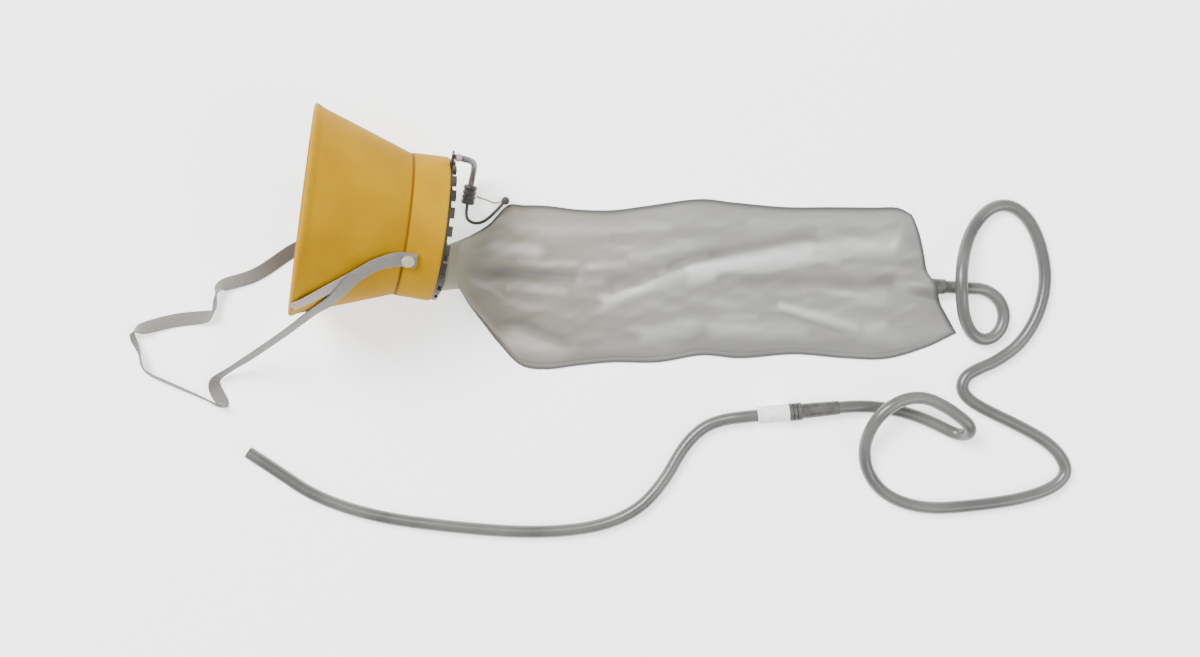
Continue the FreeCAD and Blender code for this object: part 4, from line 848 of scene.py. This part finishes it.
def fine_wrinkles(x, y):
    """Plane waves of random slant, length and phase, most of them running along the bag: each
    is the sine of the distance across it over its length, and sways a little along the bag."""
    draw = np.random.default_rng(WRINKLE_SEED)
    slants = draw.normal(0.0, WRINKLE_SLANT, WRINKLE_WAVES)
    lengths = draw.uniform(*WRINKLE_LENGTHS, WRINKLE_WAVES)
    phases = draw.uniform(0, 2 * math.pi, WRINKLE_WAVES)
    relief = np.zeros_like(x)
    for slant, length, phase in zip(slants, lengths, phases):
        across = y * math.cos(slant) + x * math.sin(slant) * SLANT_SHARE
        sway = SWAY * np.sin(x / SWAY_LENGTH + phase)
        relief += np.sin(2 * math.pi * across / length + phase + sway)
    return relief * WRINKLE_HEIGHT


print("wrinkle waves", WRINKLE_WAVES)

# %% [markdown]
# ### The film's heights
# Slack film lies like a thin pillow with its folds on it, and near the neck it is drawn up
# into a taut oval. At the far end it stands like a tent over the hose's stub, which would
# otherwise poke through. The film is the greater of pillow and tent, joined smoothly.

# %% Film heights
SEAM_THICKNESS = 0.8
SEAM_INSIDE = 0.93
PILLOW_POWER = 0.65
FOLD_FADE_HEIGHT = 6.0
STUB_START = np.array([164.5, -23.6])
TENT_LENGTH = 26.0
TENT_TOP = 10.8
TENT_WIDTH = 6.6
MEET_POWER = 4


def tent_height(x, y):
    """A ridge over the hose's stub: it rises along the film as 3 t ** 2 - 2 t ** 3, and falls
    off beside the stub as exp(-(distance / width) ** 2)."""
    from_stub = np.stack([x, y], axis=-1) - STUB_START
    along = from_stub @ FITTING_WAY[:2]
    beside = from_stub @ np.array([-FITTING_WAY[1], FITTING_WAY[0]])
    rise = np.clip(1 + along / TENT_LENGTH, 0, 1)
    return TENT_TOP * rise ** 2 * (3 - 2 * rise) * np.exp(-(beside / TENT_WIDTH) ** 2)


def film_relief(x, y, inside, height, slack):
    """All folds and wrinkles, which fade near the seams, in the taut part and where it is low."""
    fade = inside * slack * np.clip(height / FOLD_FADE_HEIGHT, 0, 1)
    relief = fold_height(x, y, MAIN_FOLDS) + fold_height(x, y, SMALL_FOLDS) + fine_wrinkles(x, y)
    return relief * fade


def film_heights(s, inside, height, slack, relief, tent):
    """The upper and the lower film over the seams. Slack, the upper one is height times inside
    ** 0.65 plus the relief; taut, the two are the halves of an ellipse. Pillow and tent join as
    the fourth root of the sum of their fourth powers."""
    flat_top = height * inside ** PILLOW_POWER + relief
    bulge = height / 2 * np.sqrt(np.clip(1 - s ** 2, 0, 1))
    pillow = (1 - slack) * (height / 2 + bulge) + slack * flat_top + SEAM_THICKNESS
    upper = (np.maximum(pillow, 0) ** MEET_POWER + tent ** MEET_POWER) ** (1 / MEET_POWER)
    return upper, (1 - slack) * (height / 2 - bulge)


print("tent over the stub %.1f mm" % tent_height(*STUB_START))

# %% [markdown]
# ### Closing the bag
# Each row runs round the bag: from the far seam over the top to the near seam and back under.
# The first rows are a sleeve round the spigot, then a throat widens to the first station, and
# both ends are capped, so the film is one closed shell. Two measures ride along as UV for the
# finish: how far a point is from the nearest weld, and how far its fold stands out, which the
# finish turns into painted highlight on ridges and painted shade in valleys.

# %% Bag surface
PORT_ANGLE = -math.pi / 2
PORT_OFFSET = 22.5
NECK_RADIUS = 12.75
NECK_BACK = 75.7
NECK_FRONT = 80.0
SLEEVE_ROWS = 24
THROAT_ROWS = 18
BAG_SIDE = 90
FOLD_SHADING_DEPTH = 4.0
NEUTRAL_FOLD_SHADING = 0.5
FAR_FROM_WELD = 0.02


def neck_ring(axial, turn):
    """A ring of the neck, square to the spigot: the spigot's centre plus the radius times the
    turn's cosine to the far side and its sine upwards."""
    centre = on_mask(axial, PORT_ANGLE, PORT_OFFSET) / MM
    side = unit(np.cross([0.0, 0.0, 1.0], AXIS))
    up = np.cross(AXIS, side)
    return centre + NECK_RADIUS * (np.cos(turn)[:, None] * side + np.sin(turn)[:, None] * up)


def bag_grid():
    """Rows of points from the neck to the far weld, and their two measures for the finish."""
    turn = np.linspace(0, 2 * math.pi, 2 * BAG_SIDE, endpoint=False)
    s = np.cos(turn)[None, :]
    far, near, height, under, slack = bag_rows()
    x, y = level_places(far, near, s)
    inside = np.clip(1 - (s / SEAM_INSIDE) ** 2, 0, 1)
    relief = film_relief(x, y, inside, height, slack)
    upper, lower = film_heights(s, inside, height, slack, relief, tent_height(x, y))
    z = BAG_FLOOR + under + np.where(np.sin(turn)[None, :] >= 0, upper, lower)
    body = np.stack([x, y, np.maximum(z, BAG_FLOOR)], axis=-1)
    first, last = neck_ring(NECK_BACK, turn), neck_ring(NECK_FRONT, turn)
    sleeve = first + (last - first) * np.linspace(0, 1, SLEEVE_ROWS)[:, None, None]
    throat = last + (body[0] - last) * np.linspace(0, 1, THROAT_ROWS + 2)[1:-1, None, None]
    edge = MM * np.linalg.norm(far - near, axis=1)[:, None] / 2 * (1 - np.abs(s))
    edge = np.minimum(edge, MM * np.linalg.norm(body[-1] - body, axis=-1))
    # The fold's height, scaled for the finish: it paints highlight on ridges and shade in valleys.
    fold_shading = NEUTRAL_FOLD_SHADING + relief / FOLD_SHADING_DEPTH
    lead = ((SLEEVE_ROWS + THROAT_ROWS, 0), (0, 0))
    uv = np.stack([np.pad(edge, lead, constant_values=FAR_FROM_WELD),
                   np.pad(fold_shading, lead, constant_values=NEUTRAL_FOLD_SHADING)], axis=-1)
    return MM * np.concatenate([sleeve, throat, body]), uv


bag_points, bag_uv = bag_grid()
bag = grid_object("film_bag", bag_points, close_columns=True, caps=True, uv=bag_uv)
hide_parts("reservoir_bag")
print("bag faces", len(bag.data.polygons))

# %% [markdown]
# ### Film
# The film is clear, but in the picture its two layers are a milky grey, so this finish is
# nearly opaque: glass-clear film would show no folds on a white table. Colour helps the light.
# Ridges are painted whiter and valleys darker: painted highlight and shade along the folds. The
# weld is a dark line, partly the seam and partly painted shade along the film's edge. The film
# is warmer towards the neck, and olive in it, over the black clamp.

# %% Film
# Blown vinyl film, two layers thick: milky, soft and a little glossy. Its smallest ripples are
# finer than the render shows, so they are drawn about 9 mm across.
# Along the bag: where the warm end turns cloudy, and where the olive neck turns warm
WARM_TO_CLOUDY = (-75 * MM, 20 * MM)
NECK_TO_WARM = (-98 * MM, -80 * MM)
# From the weld: where its dark line, partly the seam and partly painted edge shade, turns into
# film
WELD_TO_FILM = (0.8 * MM, 3 * MM)
film, film_tree, film_shader = new_material(
    "milky_vinyl_film", Roughness=0.5, IOR=1.5, Specular_IOR_Level=0.4, Alpha=0.94)
film_coordinates = add(film_tree, "ShaderNodeTexCoord")
place_x = add(film_tree, "ShaderNodeSeparateXYZ",
              Vector=film_coordinates.outputs["Object"]).outputs["X"]
measures = add(film_tree, "ShaderNodeSeparateXYZ", Vector=film_coordinates.outputs["UV"])
edge, fold_shading = measures.outputs["X"], measures.outputs["Y"]
cloudy = two_tones(film_tree, 50 * MM, "#7a7976", "#878683", stretch=(1.0, 3.0, 1.0))
warm = two_tones(film_tree, 40 * MM, "#80796b", "#8c8679", detail=2.0, stretch=(1.0, 2.0, 1.0))
body_colour = blend(film_tree, place_x, *WARM_TO_CLOUDY, warm, cloudy)
neck_colour = blend(film_tree, place_x, *NECK_TO_WARM, "#88826a", body_colour)
# Painted highlight on ridges, towards #c4c4c2, and painted shade in valleys, towards #656461.
ridge_highlight = blend(film_tree, fold_shading, NEUTRAL_FOLD_SHADING, 1.0, neck_colour, "#c4c4c2")
valley_shade = blend(film_tree, fold_shading, 0.0, NEUTRAL_FOLD_SHADING, "#656461", ridge_highlight)
# The weld's dark line: partly the seam, partly painted shade along the film's edge.
weld_and_edge_shade = blend(film_tree, edge, *WELD_TO_FILM, "#4b4b49", valley_shade)
film_tree.links.new(weld_and_edge_shade, film_shader.inputs["Base Color"])
grain(film_tree, film_shader, 9 * MM, 0.3 * MM, stretch=(0.4, 1.6, 1.0))
finish_piece(bag, film)
print(film.name, "nodes", len(film_tree.nodes))

# %% [markdown]
# ## Lanyard
# A soft rubber cord hangs from a knob on the guard's lug to a knurled ferrule on the table.
# A thin loop and a clear filament tie the ferrule to the bag's corner. Both cords are too
# short to simulate, so each is a bevelled curve like the hoses. It leaves the ferrule straight,
# and ends against a bead, just short of its surface.

# %% Lanyard routes
KNOB_RADIUS = 2.1
KNOB_REACH = 42.6
LUG_ANGLE = math.pi / 2
FLANGE_TOP = CUP_LENGTH + 1.3
TIE_RADIUS = 2.3
END_GAP = 0.05
FERRULE_LENGTH = 10.5
FERRULE_STRAIGHT = 5
KNOB = on_mask(FLANGE_TOP + KNOB_RADIUS, LUG_ANGLE, KNOB_REACH)
FERRULE_START = MM * np.array([-87.8, 32.0, 6.4])
FERRULE_WAY = unit(np.array([-0.2, -0.96, -0.2]))
FERRULE_END = FERRULE_START + FERRULE_WAY * FERRULE_LENGTH * MM
TIE = MM * np.array([-68.8, 23.9, 2.4])
CORD_ROUTE = MM * np.array([(-84.4, 40.8, 48.0), (-83.6, 41.4, 32.0), (-85.0, 40.2, 16.0)])
LOOP_ROUTE = MM * np.array([(-90.0, 12.6, 1.2), (-84.0, 10.8, 1.0), (-77.0, 14.8, 1.2)])
STRAIGHT = FERRULE_STRAIGHT * MM * FERRULE_WAY
cord_start = KNOB + unit(CORD_ROUTE[0] - KNOB) * (KNOB_RADIUS + END_GAP) * MM
loop_end = TIE + unit(LOOP_ROUTE[-1] - TIE) * (TIE_RADIUS + END_GAP) * MM
print("ferrule end height %.1f mm" % (FERRULE_END[2] / MM))

# %% Lanyard cords
PULL_CORD_RADIUS = 1.7 * MM
TIE_LOOP_RADIUS = 0.9 * MM
pull_cord = spline_object("pull_cord", np.vstack([
    cord_start, CORD_ROUTE, FERRULE_START - STRAIGHT, FERRULE_START]), PULL_CORD_RADIUS)
tie_loop = spline_object("tie_loop", np.vstack([
    FERRULE_END, FERRULE_END + STRAIGHT, LOOP_ROUTE, loop_end]), TIE_LOOP_RADIUS)
# Soft rubber cord, extruded: a warm dark grey with a dull shine.
cord_grey, cord_tree, cord_shader = new_material("soft_rubber_cord", Roughness=0.5, IOR=1.45)
cord_tree.links.new(two_tones(cord_tree, 6 * MM, "#494544", "#645e5c", detail=2.0),
                    cord_shader.inputs["Base Color"])
# Braided polyester cord: nearly black and dull. Its braid is finer than the render shows, so
# its light and dark threads are drawn as flecks of 2 mm.
dark_cord, dark_tree, dark_shader = new_material("dark_braided_cord", Roughness=0.6)
dark_tree.links.new(two_tones(dark_tree, 2 * MM, "#3c3a38", "#57534f", detail=2.0),
                    dark_shader.inputs["Base Color"])
finish_piece(pull_cord, cord_grey)
finish_piece(tie_loop, dark_cord)
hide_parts("lanyard_cord")
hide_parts("lanyard_loop")
print("pull cord points", len(pull_cord.data.splines[0].points))

# %% [markdown]
# ## Finishes for the hard pieces
# The hard pieces keep their solids' shapes. Each gets the finish of its real material. Nearly
# all are small mouldings, so one function serves: two close tones in lumps of a few
# millimetres, so that no surface is one flat colour, and the fine grain of a mould.


# %% Moulded finishes
TONE_LUMP = 4 * MM
MOULD_GRAIN = 0.5 * MM
GRAIN_DEPTH = 0.04 * MM


def moulded(name, low, high, roughness, **shader_values):
    """Moulded plastic or rubber: colour between two hex values, with a fine moulded texture."""
    material, tree, shader = new_material(name, Roughness=roughness, **shader_values)
    tree.links.new(two_tones(tree, TONE_LUMP, low, high), shader.inputs["Base Color"])
    grain(tree, shader, MOULD_GRAIN, GRAIN_DEPTH, detail=2.0)
    return material


# Black nylon, moulded: a satin brownish black that still shows its teeth.
black_nylon = moulded("black_nylon", "#17120e", "#2b241d", 0.5)
# Natural acetal, moulded: a dense warm white with a waxy shine.
pale_acetal = moulded("pale_acetal", "#cfcdc2", "#dedcd2", 0.4)
# Thin silicone sheet, cut: milky, and drawn opaque.
clear_rubber = moulded("clear_silicone_sheet", "#c9c6ba", "#dad7cc", 0.35, IOR=1.41)
# Natural polypropylene, moulded: a cool milky white, smooth.
milky_barrel = moulded("milky_polypropylene", "#e2e2e0", "#f4f4f2", 0.3)
# Green acetal, moulded: a plain strong green, as such floats have.
float_green = moulded("green_acetal", "#256b3c", "#2f7f49", 0.4)
# Dark soft vinyl, moulded: grey-black and a little rubbed.
dark_grip = moulded("dark_vinyl_grip", "#3b3a38", "#4f4e4b", 0.45)
# Clear nylon, moulded: it takes up the yellow behind it, and shines a little.
stud_clear = moulded("milky_stud_nylon", "#97956f", "#aeac8c", 0.3, IOR=1.53)
# Grey soft vinyl, moulded: darker than the tube, with a soft shine.
fitting_grey = moulded("grey_vinyl_stub", "#3f3e3c", "#585755", 0.35)
# Rubber, moulded: a dull greyish pink.
knob_pink = moulded("pinkish_rubber_knob", "#8d7c7a", "#a8989a", 0.45)
# Dark rubber with moulded ribs: a dull warm black.
ferrule_dark = moulded("knurled_dark_rubber", "#33302e", "#4b4745", 0.5)
print("materials so far", len(bpy.data.materials))

# %% Finish the solids
FINISHES = {
    "valve_plate": pale_acetal, "valve_guard": black_nylon, "exhalation_flap": clear_rubber,
    "inhalation_flap": clear_rubber, "ambient_valve": clear_rubber,
    "ambient_valve_cap": black_nylon, "bag_clamp": black_nylon,
    "bag_fitting": fitting_grey, "indicator_barrel": milky_barrel, "indicator_float": float_green,
    "indicator_sleeve": dark_grip,
    "strap_stud_near": stud_clear, "strap_stud_far": stud_clear, "stud_washer_near": stud_clear,
    "stud_washer_far": stud_clear, "lanyard_knob": knob_pink, "lanyard_ferrule": ferrule_dark,
    "lanyard_filament": stud_clear, "bag_tie": ferrule_dark,
}
for node_name, material in FINISHES.items():
    node_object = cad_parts[node_name]
    node_object.data.materials.clear()
    node_object.data.materials.append(material)
print("solids finished", len(FINISHES))

# %% [markdown]
# ## Springs
# Two small coils of steel wire push the sprung valve shut and the float back. The solids' own
# coils would keep their length while the pieces beside them move. Each new coil takes its
# place, radius and length from the ends of its solid, and the solid's coil is hidden.

# %% Coils
COIL_STEPS = 140
WIRE_SIDES = 10
# Drawn steel wire, wound: bright, with a soft highlight.
spring_steel = new_material("drawn_spring_wire", Metallic=1.0, Roughness=0.3,
                            Base_Color=linear("#b5b5b2"))[0]


def coil(name, node_name, axis, wire, turns):
    """Circle of wire along a helix: centre + axis * rise + radius * (cos, sin) of the turn."""
    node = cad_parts[node_name]
    flat = np.empty(len(node.data.vertices) * 3)
    node.data.vertices.foreach_get("co", flat)
    side = unit(np.cross([0.0, 0.0, 1.0], axis))
    frame_axes = np.array([side, np.cross(axis, side), axis])
    local = flat.reshape(-1, 3) @ frame_axes.T
    low, high = local.min(axis=0), local.max(axis=0)
    middle = (low + high) / 2
    radius = (high - low)[:2].max() / 2 - wire / 2
    length = high[2] - low[2]
    t = np.linspace(0, 1, COIL_STEPS)[:, None]
    turn = 2 * math.pi * turns * t
    around_wire = np.linspace(0, 2 * math.pi, WIRE_SIDES, endpoint=False)[None, :]
    reach = radius + wire / 2 * np.cos(around_wire)
    rise = low[2] + wire / 2 + (length - wire) * t + wire / 2 * np.sin(around_wire)
    places = np.stack([middle[0] + reach * np.cos(turn), middle[1] + reach * np.sin(turn), rise],
                      axis=-1) @ frame_axes
    made = grid_object(name, places, close_columns=True, caps=True)
    finish_piece(made, spring_steel)
    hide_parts(node_name)
    print(name, "length %.2f mm" % (length / MM))
    return made, middle @ frame_axes, length


AMBIENT_WIRE = 0.4 * MM
AMBIENT_TURNS = 3.5
FLOAT_WIRE = 0.35 * MM
FLOAT_TURNS = 5
valve_coil, middle, length = coil("valve_coil", "ambient_spring", AXIS, AMBIENT_WIRE,
                                  AMBIENT_TURNS)
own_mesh(valve_coil)
float_coil, middle, length = coil("float_coil", "indicator_spring", -INDICATOR_WAY, FLOAT_WIRE,
                                  FLOAT_TURNS)
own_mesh(float_coil)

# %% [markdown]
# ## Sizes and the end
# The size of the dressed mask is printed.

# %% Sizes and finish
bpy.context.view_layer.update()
lowest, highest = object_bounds()
print("dressed size in metres", np.round(np.array(highest) - np.array(lowest), 3))
